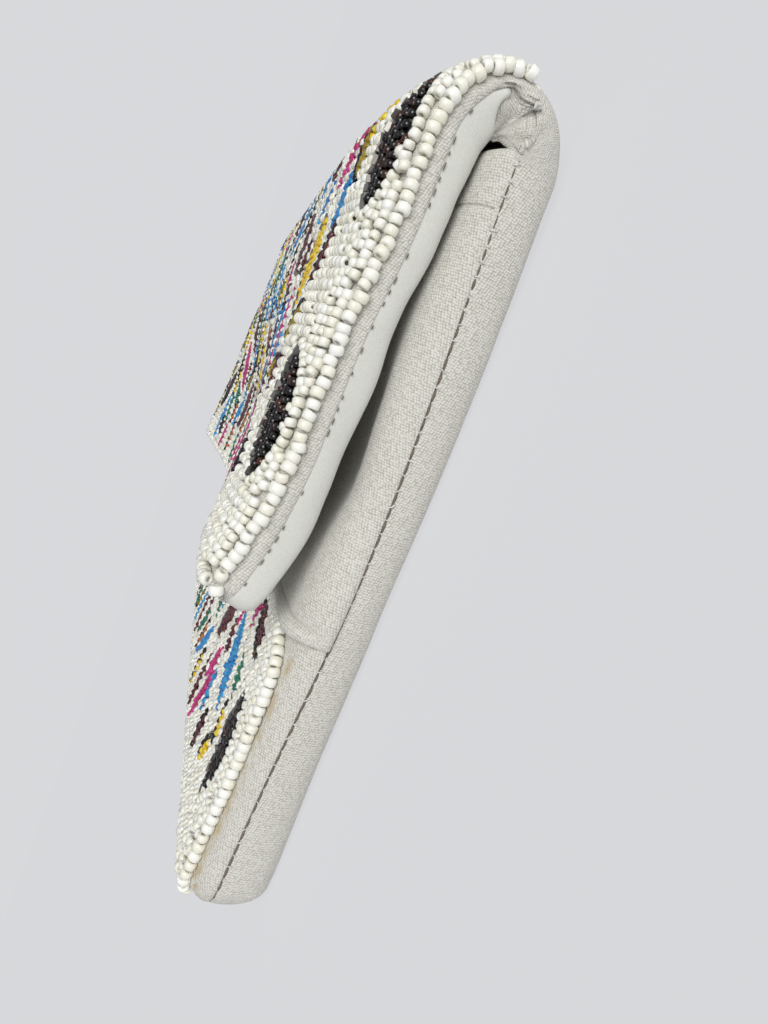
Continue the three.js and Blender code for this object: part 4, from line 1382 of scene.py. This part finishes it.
class Setter:
    """Sets copies of a shape at many places, through geometry nodes."""

    def __init__(self) -> None:
        """Makes no node group until a shape is set."""
        self.groups: dict[str, bpy.types.NodeTree] = {}

    def _group(self, shape: bpy.types.Object) -> bpy.types.NodeTree:
        """Node group that sets one shape on points."""
        if shape.name in self.groups:
            return self.groups[shape.name]
        tree = bpy.data.node_groups.new(f"set_{shape.name}", "GeometryNodeTree")
        tree.interface.new_socket("Geometry", in_out="INPUT", socket_type="NodeSocketGeometry")
        tree.interface.new_socket("Geometry", in_out="OUTPUT", socket_type="NodeSocketGeometry")
        kinds = {
            "start": "NodeGroupInput",
            "points": "GeometryNodeMeshToPoints",
            "shape": "GeometryNodeObjectInfo",
            "turn": "GeometryNodeInputNamedAttribute",
            "size": "GeometryNodeInputNamedAttribute",
            "set": "GeometryNodeInstanceOnPoints",
            "real": "GeometryNodeRealizeInstances",
            "end": "NodeGroupOutput",
        }
        made = {key: tree.nodes.new(kind) for key, kind in kinds.items()}
        made["shape"].inputs["Object"].default_value = shape
        for key in ("turn", "size"):
            made[key].data_type = "FLOAT_VECTOR"
            made[key].inputs["Name"].default_value = key
        links = (
            ("start", "Geometry", "points", "Mesh"),
            ("points", "Points", "set", "Points"),
            ("shape", "Geometry", "set", "Instance"),
            ("turn", "Attribute", "set", "Rotation"),
            ("size", "Attribute", "set", "Scale"),
            ("set", "Instances", "real", "Geometry"),
            ("real", "Geometry", "end", "Geometry"),
        )
        for source, out, target, into in links:
            tree.links.new(made[source].outputs[out], made[target].inputs[into])
        self.groups[shape.name] = tree
        return tree

    def place(
        self, name: str, shape: bpy.types.Object, places: Array, axes: Array, sizes: Array, tones: Array
    ) -> bpy.types.Object:
        """Sets a shape at places and makes the result one mesh.

        Args:
            name: name of the piece.
            shape: the shape, its length along x.
            places: middles, in metres.
            axes: for each place a turn matrix, its columns the shape's axes.
            sizes: for each place the shape's three sizes, in metres.
            tones: for each place a number that its colour varies with.

        Returns:
            The piece.
        """
        mesh = bpy.data.meshes.new(name)
        mesh.vertices.add(len(places))
        mesh.vertices.foreach_set("co", places.astype(np.float32).ravel())
        pitch = np.arcsin(np.clip(-axes[:, 2, 0], -1.0, 1.0))
        roll = np.arctan2(axes[:, 2, 1], axes[:, 2, 2])
        yaw = np.arctan2(axes[:, 1, 0], axes[:, 0, 0])
        stored = {"turn": rows_of(roll, pitch, yaw), "size": sizes}
        for key, values in stored.items():
            layer = mesh.attributes.new(key, "FLOAT_VECTOR", "POINT")
            layer.data.foreach_set("vector", values.astype(np.float32).ravel())
        layer = mesh.attributes.new("tone", "FLOAT", "POINT")
        layer.data.foreach_set("value", tones.astype(np.float32))
        obj = bpy.data.objects.new(name, mesh)
        bpy.context.scene.collection.objects.link(obj)
        modifier = obj.modifiers.new("set", "NODES")
        modifier.node_group = self._group(shape)
        graph = bpy.context.evaluated_depsgraph_get()
        whole = bpy.data.meshes.new_from_object(
            obj.evaluated_get(graph), preserve_all_data_layers=True, depsgraph=graph
        )
        obj.modifiers.clear()
        obj.data = whole
        whole.name = name
        for key in ("turn", "size"):
            if key in whole.attributes:
                whole.attributes.remove(whole.attributes[key])
        return obj


def frames(surface: Callable[[Array, Array], Array], u: Array, v: Array, facing: float) -> tuple[Array, ...]:
    """Points of a surface with its two directions and its normal.

    Args:
        surface: gives a point by u and v.
        u: places across the surface.
        v: places along it.
        facing: 1 or -1, so that the normal looks outward.

    Returns:
        Points, directions across and along, and normals. Where v is below 0, the direction along
        and the normal look the other way, and beads there are sunk in.
    """
    step = 0.05
    along_u = surface(u + step, v) - surface(u - step, v)
    along_v = surface(u, v + step) - surface(u, np.maximum(v - step, 0.0))
    along_u, along_v = unit(along_u), unit(along_v)
    return surface(u, v), along_u, along_v, unit(np.cross(along_u, along_v) * facing)


@dataclass
class BeadPanel:
    """Beads of one panel: edge strings, leaves and ground."""

    name: str
    finishes: Finishes
    shapes: Shapes
    setter: Setter
    surface: Callable[[Array, Array], Array]
    facing: float
    plan: BeadPlan
    attach: Callable[[bpy.types.Object], object]
    stands_for: dict[Colour, list[str]]
    near: float = 104.0
    middle_start: float = -20.0
    sink: float = 0.12
    closed_up: float = 0.97
    slant_wander: float = 0.09
    tilt_wander: float = 0.2
    size_wander: float = 0.06
    height_wander: float = 0.07

    def build(self) -> None:
        """Sets the planned beads, one piece for each colour and stretch."""
        for colour, beads in self.plan.beads.items():
            rows = np.array(beads)
            stretches = {"": np.ones(len(rows), bool)}
            if colour is Colour.WHITE:
                close = rows[:, 0] > self.near
                mid = ~close & (rows[:, 0] > self.middle_start)
                stretches = {"_right": close, "_middle": mid, "_left": ~close & ~mid}
            nodes = self.stands_for.get(colour, [])
            for stretch, chosen in stretches.items():
                if not chosen.any():
                    continue
                self._set(f"{self.name}_{colour.name.lower()}_beads{stretch}", colour, rows[chosen], nodes)
                nodes = []

    def _set(self, name: str, colour: Colour, rows: Array, nodes: list[str]) -> None:
        """Sets the beads of one piece."""
        random = np.random.default_rng(len(rows))
        count = len(rows)
        point, along_u, along_v, normal = frames(self.surface, rows[:, 0], rows[:, 1], self.facing)
        angle = rows[:, 2] + random.normal(0.0, self.slant_wander, count)
        axis = along_u * np.cos(angle)[:, None] + along_v * np.sin(angle)[:, None]
        axis = unit(axis + normal * random.normal(0.0, self.tilt_wander, count)[:, None])
        side = unit(np.cross(normal, axis))
        up = np.cross(axis, side)
        roll = random.uniform(0.0, 2 * math.pi, (count, 1))
        side, up = side * np.cos(roll) + up * np.sin(roll), up * np.cos(roll) - side * np.sin(roll)
        grow = random.normal(1.0, self.size_wander, (count, 1))
        size = rows[:, [4, 3, 3]] * grow * np.array((self.closed_up, 1.0, 1.0))
        level = np.maximum(rows[:, 3], GROUND_BEAD.diameter)
        raised = level - size[:, 2] / 2 - self.sink + random.normal(0.0, self.height_wander, count)
        middle = FORM.row(point + normal * raised[:, None])
        axes = np.stack((axis, side, up), axis=2)
        if colour is Colour.GUNMETAL:
            shape = self.shapes.cut
        else:
            shape = self.shapes.fine if name.endswith("_right") else self.shapes.seed
        obj = self.setter.place(name, shape, middle, axes, size * MM, random.uniform(0.0, 1.0, count))
        finish_piece(obj, self.finishes.of(colour.finish), colour.slot, nodes)
        self.attach(obj)


def line(x0: float, s0: float, x1: float, s1: float) -> Array:
    """A straight line of points."""
    return rows_of(np.linspace(x0, x1, 60), np.linspace(s0, s1, 60))


LEAF_EDGES = {
    Colour.BLACK: Colour.GUNMETAL,
    Colour.YELLOW: Colour.GUNMETAL,
    Colour.MAROON: Colour.GUNMETAL,
}
SPRIG_COLOURS = (
    Colour.BLUE, Colour.AMBER, Colour.MAROON, Colour.OLIVE, Colour.MAGENTA,
    Colour.BLACK, Colour.GREEN, Colour.YELLOW, Colour.BLUE, Colour.MAROON,
)


@dataclass(frozen=True)
class LeafField:
    """Leaves in columns over a panel.

    Each column gives its share of the half width, then for each leaf its share of the field's
    length, its slant and its colour.
    """

    half: float
    first: float
    last: float
    columns: tuple[tuple, ...]

    def leaves(self) -> list[Leaf]:
        """Every leaf of the field, in the order of its nodes."""
        span = self.last - self.first
        return [
            Leaf(share * self.half, self.first + place * span, angle, colour)
            for share, *row in self.columns
            for place, angle, colour in row
        ]


FLAP_FIELD = LeafField(130.0, 1.35, 109.0, (
    (-0.94, (0.22, 1.5, Colour.BLACK), (0.74, 1.72, Colour.MAROON)),
    (-0.7, (0.32, 0.8, Colour.BLUE), (0.8, 2.35, Colour.BLACK)),
    (-0.43, (0.24, 2.3, Colour.YELLOW), (0.68, 0.8, Colour.MAGENTA)),
    (-0.14, (0.34, 0.8, Colour.GREEN), (0.8, 2.3, Colour.MAROON)),
    (0.15, (0.24, 2.3, Colour.BLUE), (0.68, 0.8, Colour.YELLOW)),
    (0.44, (0.34, 0.8, Colour.MAROON), (0.8, 2.3, Colour.BLUE)),
    (0.71, (0.42, 1.15, Colour.YELLOW), (0.82, 0.75, Colour.MAGENTA)),
    (0.94, (0.22, 1.64, Colour.BLACK), (0.72, 1.5, Colour.BLACK)),
))
FRONT_FIELD = LeafField(126.0, 6.5, 58.7, (
    (-0.93, (0.5, 1.8, Colour.BLACK)),
    (-0.66, (0.5, 0.8, Colour.YELLOW)),
    (-0.38, (0.5, 2.3, Colour.BLUE)),
    (-0.12, (0.5, 0.8, Colour.MAGENTA)),
    (0.14, (0.5, 2.3, Colour.GREEN)),
    (0.4, (0.5, 0.8, Colour.MAROON)),
    (0.67, (0.5, 2.3, Colour.BLUE)),
    (0.93, (0.4, 1.45, Colour.BLACK)),
))


@dataclass
class BeadWork:
    """All the beads: the flap's and those of the lower front."""

    finishes: Finishes
    shapes: Shapes
    setter: Setter
    border: tuple[float, ...] = (-0.3, 2.05, 4.4)
    edge_turn: float = 132.6
    front_turn: float = 130.4
    front_bend: float = 10.0
    sprigs_flap: int = 170
    sprigs_front: int = 80
    crest: float = -2.0
    sprig_gap: float = 9.0
    sprig_length: tuple[float, float] = (10.0, 22.0)
    sprig_width: tuple[float, float] = (4.4, 7.2)
    sprig_tip: float = 2.0
    sprig_margin: float = 22.0
    sprig_tries: int = 14
    sprig_inset: float = 4.0
    sprig_slant: tuple[float, float] = (1.57, 0.6)
    leaf_clearance: tuple[float, float, float] = (7.0, 6.0, 5.0)
    ground_inset: float = 2.4
    front_start: float = 0.7
    front_top_inset: float = 1.5
    front_low: float = 2.4
    front_low_half: float = 124.0
    row_step: float = 2.3

    def build(self) -> None:
        """Plans and sets both panels."""
        self._flap()
        self._front()

    def _sprigs(
        self, plan: BeadPlan, leaves: list[Leaf], count: int, low: float, high: float, reach: float
    ) -> None:
        """Scatters small leaves between the large ones.

        Args:
            plan: the panel's beads.
            leaves: its large leaves.
            count: how many small ones are wanted.
            low: first place along the panel.
            high: last place along it.
            reach: half width that they keep to.
        """
        random = plan.random
        placed: list[tuple[float, float]] = []
        for k in range(count * self.sprig_tries):
            if len(placed) >= count:
                break
            x = random.uniform(-reach, reach)
            s = random.uniform(low + self.sprig_inset, high - self.sprig_inset)
            angle = random.normal(*self.sprig_slant)
            length = random.uniform(*self.sprig_length)
            gap = min((math.hypot(x - a, s - b) for a, b in placed), default=math.inf)
            if gap < self.sprig_gap:
                continue
            colour = SPRIG_COLOURS[k % len(SPRIG_COLOURS)]
            sprig = Leaf(x, s, angle, colour, length, random.uniform(*self.sprig_width), self.sprig_tip)
            ends_x, ends_s = sprig.placed(np.array((-0.5, 0.0, 0.5)) * length, np.zeros(3))
            if any(self._inside(leaf, ends_x, ends_s) for leaf in leaves):
                continue
            placed.append((x, s))
            plan.leaf(sprig, Colour.BLACK if k % 2 else None)

    def _inside(self, leaf: Leaf, x: Array, s: Array) -> bool:
        """True if any of the places lies on a leaf or its white outline."""
        along, wide = leaf.local(x, s)
        longer, wider, tip = self.leaf_clearance
        grown = Leaf(leaf.x, leaf.s, leaf.angle, leaf.colour, leaf.length + longer, leaf.width + wider, tip)
        return bool((np.abs(wide) < grown.half_width(along)).any())

    def _names(self, prefix: str, leaves: list[Leaf]) -> dict[Colour, list[str]]:
        """CAD leaves that the beads of each colour stand for."""
        named: dict[Colour, list[str]] = {}
        for number, leaf in enumerate(leaves, 1):
            named.setdefault(leaf.colour, []).append(f"{prefix}_leaf_{number}")
        strings = [f"{prefix}_bead_string_left", f"{prefix}_bead_string_right"]
        named[Colour.WHITE] = [f"{prefix}_bead_rows", *strings]
        return named

    def _flap(self) -> None:
        """Beads of the flap."""
        plan = BeadPlan(11, self.edge_turn)
        leaves = FLAP_FIELD.leaves()
        edge = self.edge_turn
        low = FORM.flap_face + 2.6
        for side in (1.0, -1.0):
            tip = FORM.flap_length - 0.5
            string = line(side * edge, self.crest - 0.4, side * edge, tip)
            plan.string(string, EDGE_BEAD, Colour.WHITE, 0.16, first=True)
        inner = edge - EDGE_BEAD.diameter * 1.3
        for s in (self.crest - 1.0, low):
            plan.string(line(-inner, s, inner, s), EDGE_BEAD, Colour.WHITE, 0.16, first=True)
        self._fill(
            plan, leaves, self.sprigs_flap, self.crest + 1.4, low - self.row_step,
            lambda s: edge - self.ground_inset,
        )
        panel = BeadPanel(
            "flap", self.finishes, self.shapes, self.setter, FORM.flap_beads, -1.0, plan,
            crosses_fold, self._names("flap", leaves),
        )
        panel.build()

    def _fill(
        self, plan: BeadPlan, leaves: list[Leaf], sprigs: int, low: float, high: float,
        half: Callable[[float], float],
    ) -> None:
        """Lays the leaves, their outlines, the sprigs and the ground.

        Args:
            plan: the panel's beads.
            leaves: its large leaves.
            sprigs: how many small leaves are wanted.
            low: first row of the ground.
            high: last row of the ground.
            half: gives the ground's half width at a row.
        """
        for leaf in leaves:
            plan.leaf(leaf, LEAF_EDGES.get(leaf.colour))
        for leaf in leaves:
            plan.outline(leaf, GROUND_BEAD)
        for inset in self.border:
            for side in (1.0, -1.0):
                run = np.linspace(low, high, 60)
                reach = np.array([half(s) for s in run]) - inset
                plan.string(rows_of(side * reach, run), GROUND_BEAD, Colour.WHITE, 0.2)
        self._sprigs(plan, leaves, sprigs, low, high, half((low + high) / 2) - self.sprig_margin)
        plan.ground(half, low, high)

    def _front(self) -> None:
        """Beads of the lower front."""
        plan = BeadPlan(23, self.front_turn)
        leaves = FRONT_FIELD.leaves()
        edge = self.front_turn
        high = FORM.lower_panel - self.front_top_inset
        bend = self.front_bend
        arc = np.linspace(0.0, QUARTER, 12)
        for side in (1.0, -1.0):
            rise = np.linspace(self.front_start, high - bend, 60)
            reach = FORM.half_at(rise) - (FORM.half - edge)
            corner = rows_of(edge - bend * (1.0 - np.cos(arc)), high - bend * (1.0 - np.sin(arc)))
            path = np.concatenate((rows_of(reach, rise), corner, line(edge - bend, high, 0.5, high)))
            plan.string(path * np.array((side, 1.0)), EDGE_BEAD, Colour.WHITE, 0.14, first=True)
        low = self.front_low
        plan.string(line(-self.front_low_half, low, self.front_low_half, low), EDGE_BEAD, Colour.WHITE, 0.12)
        self._fill(
            plan, leaves, self.sprigs_front, low + self.row_step, high - self.row_step,
            lambda s: float(FORM.half_at(np.array(s))) - (FORM.half - edge) - self.ground_inset,
        )
        panel = BeadPanel(
            "front", self.finishes, self.shapes, self.setter, FORM.front_beads, 1.0, plan,
            lambda obj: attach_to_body(obj, "bag"), self._names("front", leaves),
        )
        panel.build()


@dataclass
class Stitching:
    """Stitches of the side seams and of the flap's edge."""

    finishes: Finishes
    shapes: Shapes
    setter: Setter
    pitch: float = 2.9
    side_run: tuple[float, float] = (4.0, 154.5)
    side_length: tuple[float, float] = (1.9, 3.0)
    side_width: tuple[float, float] = (0.36, 0.62)
    side_height: float = 0.6
    side_share: float = 0.75
    cross_length: tuple[float, float] = (0.9, 1.7)
    cross_width: float = 0.27
    flap_pitch: float = 2.3
    flap_start: float = 14.0
    flap_end: float = 4.0
    flap_half: float = 128.0
    flap_length: tuple[float, float] = (0.8, 1.7)
    flap_width: float = 0.26
    flap_height: float = 0.36
    flap_share: float = 0.6

    def build(self) -> None:
        """Sews the seams."""
        self._side_seams()
        self._flap_seam()

    def _sew(
        self, name: str, middle: Array, axis: Array, out: Array, sizes: Array, finish: ThreadFinish, body: str
    ) -> None:
        """Sets stitches along a seam.

        Args:
            name: name of the piece.
            middle: middles of the stitches.
            axis: direction of each stitch.
            out: outward direction at each stitch.
            sizes: length, width and height of each stitch.
            finish: the thread.
            body: the body that they ride on.
        """
        axis = unit(axis)
        side = unit(np.cross(out, axis))
        axes = np.stack((axis, side, np.cross(axis, side)), axis=2)
        tones = np.linspace(0.0, 1.0, len(middle))
        obj = self.setter.place(name, self.shapes.stitch, FORM.row(middle), axes, sizes * MM, tones)
        finish_piece(obj, self.finishes.of(finish), "canvas")
        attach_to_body(obj, body)

    def _side_seams(self) -> None:
        """Dark ladder of each side seam, partly dark thread and partly painted shade of its groove, and the
        white threads that cross it.
        """
        random = np.random.default_rng(5)
        for name, sign in (("left", -1.0), ("right", 1.0)):
            y = np.arange(*self.side_run, self.pitch)
            count = len(y)
            y = y + random.uniform(-0.25, 0.25, count)
            middle = rows_of(sign * (FORM.half_at(y) - 0.1), y, FORM.seam(y))
            ahead = rows_of(0.0, 1.0, (FORM.seam(y + 1.0) - FORM.seam(y - 1.0)) / 2)
            out = np.tile((sign, 0.0, 0.0), (count, 1))
            # The dark stitches, laid nearly end to end, stand partly for dark thread and partly for the shade
            # in the seam's groove: painted shade.
            length = random.uniform(*self.side_length, count)
            sizes = rows_of(length, random.uniform(*self.side_width, count), self.side_height)
            self._sew(f"side_seam_{name}", middle, ahead, out, sizes, DARK_THREAD_AND_SHADE, "bag")
            gaps = middle + ahead * self.pitch / 2 + out * 0.35
            keep = random.uniform(0.0, 1.0, count) < self.side_share
            tilt = random.normal(0.0, 0.35, count)
            cross = rows_of(0.0, np.sin(tilt), np.cos(tilt))
            sizes = rows_of(random.uniform(*self.cross_length, count), self.cross_width, self.cross_width)
            self._sew(
                f"seam_threads_{name}", gaps[keep], cross[keep], out[keep], sizes[keep], WHITE_THREAD, "bag"
            )

    def _flap_seam(self) -> None:
        """Dark stitches between the flap's canvas and its lining."""
        random = np.random.default_rng(9)
        middles, aheads, outs = [], [], []
        s = np.arange(self.flap_start, FORM.flap_length - self.flap_end, self.flap_pitch)
        for sign in (-1.0, 1.0):
            depth = FORM.flap_seam_at(s) + 0.12
            x = sign * (FORM.flap_half_at(s) + 0.06)
            middles.append(FORM.sunk_flap(x, s, depth))
            aheads.append(FORM.sunk_flap(x, s + 0.5, depth) - FORM.sunk_flap(x, s - 0.5, depth))
            outs.append(np.tile((sign, 0.0, 0.0), (len(s), 1)))
        x = np.arange(-self.flap_half, self.flap_half, self.flap_pitch)
        low = np.full(len(x), FORM.flap_length + 0.02)
        deep = FORM.flap_seam_at(low) + 0.15
        middles.append(FORM.sunk_flap(x, low, deep))
        aheads.append(np.tile((1.0, 0.0, 0.0), (len(x), 1)))
        outs.append(np.tile((0.0, -1.0, 0.0), (len(x), 1)))
        middle, ahead, out = (np.concatenate(parts) for parts in (middles, aheads, outs))
        count = len(middle)
        keep = random.uniform(0.0, 1.0, count) < self.flap_share
        sizes = rows_of(random.uniform(*self.flap_length, count), self.flap_width, self.flap_height)
        self._sew("flap_seam", middle[keep], ahead[keep], out[keep], sizes[keep], DARK_THREAD_AND_SHADE, "flap")


@dataclass
class Snap:
    """Magnetic snap, whose CAD nodes stay."""

    finishes: Finishes
    nodes: tuple[str, ...] = ("snap_socket", "snap_socket_washer", "snap_stud", "snap_stud_washer")

    def dress(self) -> None:
        """Gives the nodes their plating."""
        metal = self.finishes.of(MetalFinish())
        for name in self.nodes:
            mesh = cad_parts[name].data
            mesh.materials.clear()
            mesh.materials.append(metal)
            log.info("%s: plated", name)


@dataclass
class Studio:
    """Floor, light and camera."""

    floor_colour: tuple[float, float, float] = (0.88, 0.885, 0.9)
    backdrop_colour: tuple[float, float, float] = (0.69, 0.695, 0.715)
    paleness: float = 0.88
    floor_glow: float = 0.58
    floor_size: float = 6.0
    floor_drop: float = 0.0002
    fill_colour: tuple[float, float, float] = (0.93, 0.96, 1.0)
    fill_strength: float = 0.32
    key_from: tuple[float, float, float] = (0.74, 0.26, 0.52)
    key_power: float = 2.4
    key_spread: float = 44.0
    eye: tuple[float, float, float] = (270.5, 105.0, 48.5)
    ahead: tuple[float, float, float] = (-0.954, -0.120, -0.275)
    top: tuple[float, float, float] = (-0.2125, 0.918, 0.337)
    lens: float = 26.95
    sensor: float = 36.0
    near_clip: float = 0.002

    def build(self) -> None:
        """Sets the stage."""
        self._floor()
        self._light()
        self._camera()
        bpy.context.scene.view_settings.view_transform = "Standard"

    def _floor(self) -> None:
        """Pale floor under the bag."""
        made = bmesh.new()
        bmesh.ops.create_grid(made, x_segments=1, y_segments=1, size=self.floor_size)
        bmesh.ops.translate(made, verts=made.verts, vec=(0.0, 0.0, -self.floor_drop))
        mesh = bpy.data.meshes.new("floor")
        made.to_mesh(mesh)
        made.free()
        obj = bpy.data.objects.new("floor", mesh)
        bpy.context.scene.collection.objects.link(obj)
        graph = Graph("floor_paper")
        graph.surface(Base_Color=self.floor_colour, Roughness=0.9, Specular_IOR_Level=0.1)
        glow = graph.node("ShaderNodeEmission", None, {"Color": self.backdrop_colour, "Strength": 1.0})
        seen = Value(graph, graph.node("ShaderNodeLightPath").outputs["Is Camera Ray"])
        seen = seen * (self.paleness - self.floor_glow) + self.floor_glow
        parts = {0: seen, 1: graph.shader.outputs[0], 2: glow.outputs[0]}
        mixed = graph.node("ShaderNodeMixShader", None, parts)
        graph.tree.links.new(mixed.outputs[0], graph.tree.nodes["Material Output"].inputs["Surface"])
        mesh.materials.append(graph.material)

    def _light(self) -> None:
        """Soft studio light and pale surroundings."""
        world = bpy.data.worlds.new("studio")
        world.use_nodes = True
        tree = world.node_tree
        fill = tree.nodes["Background"]
        fill.inputs["Color"].default_value = (*self.fill_colour, 1.0)
        fill.inputs["Strength"].default_value = self.fill_strength
        seen = tree.nodes.new("ShaderNodeBackground")
        seen.inputs["Color"].default_value = (*self.backdrop_colour, 1.0)
        path = tree.nodes.new("ShaderNodeLightPath")
        mix = tree.nodes.new("ShaderNodeMixShader")
        tree.links.new(path.outputs["Is Camera Ray"], mix.inputs[0])
        tree.links.new(fill.outputs[0], mix.inputs[1])
        tree.links.new(seen.outputs[0], mix.inputs[2])
        tree.links.new(mix.outputs[0], tree.nodes["World Output"].inputs["Surface"])
        bpy.context.scene.world = world
        self._key_lamp()

    def _key_lamp(self) -> None:
        """Adds a wide, soft lamp that shines from the side."""
        data = bpy.data.lights.new("key", "SUN")
        data.energy = self.key_power
        data.angle = math.radians(self.key_spread)
        obj = bpy.data.objects.new("key", data)
        obj.location = self.key_from
        obj.rotation_euler = (-Vector(self.key_from)).to_track_quat("-Z", "Y").to_euler()
        bpy.context.scene.collection.objects.link(obj)

    def _camera(self) -> None:
        """Camera at the photograph's viewing angle."""
        data = bpy.data.cameras.new("camera")
        data.lens = self.lens
        data.sensor_width = self.sensor
        data.clip_start = self.near_clip
        ahead = Vector(self.ahead).normalized()
        right = ahead.cross(Vector(self.top)).normalized()
        top = right.cross(ahead)
        turn = Matrix((right, top, -ahead)).transposed().to_4x4()
        obj = bpy.data.objects.new("camera", data)
        place = Vector(FORM.row(np.array([self.eye]))[0])
        obj.matrix_world = Matrix.Translation(place) @ turn
        bpy.context.scene.collection.objects.link(obj)
        bpy.context.scene.camera = obj


def main() -> None:
    """Builds the bag and its stage."""
    logging.basicConfig(level=logging.INFO, format="%(name)s %(message)s")
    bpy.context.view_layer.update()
    finishes = Finishes()
    shapes = Shapes()
    setter = Setter()
    Studio().build()
    BagBody(finishes).build()
    FlapInside(finishes).build()
    BeadWork(finishes, shapes, setter).build()
    Stitching(finishes, shapes, setter).build()
    Snap(finishes).dress()


if __name__ == "__main__":
    main()
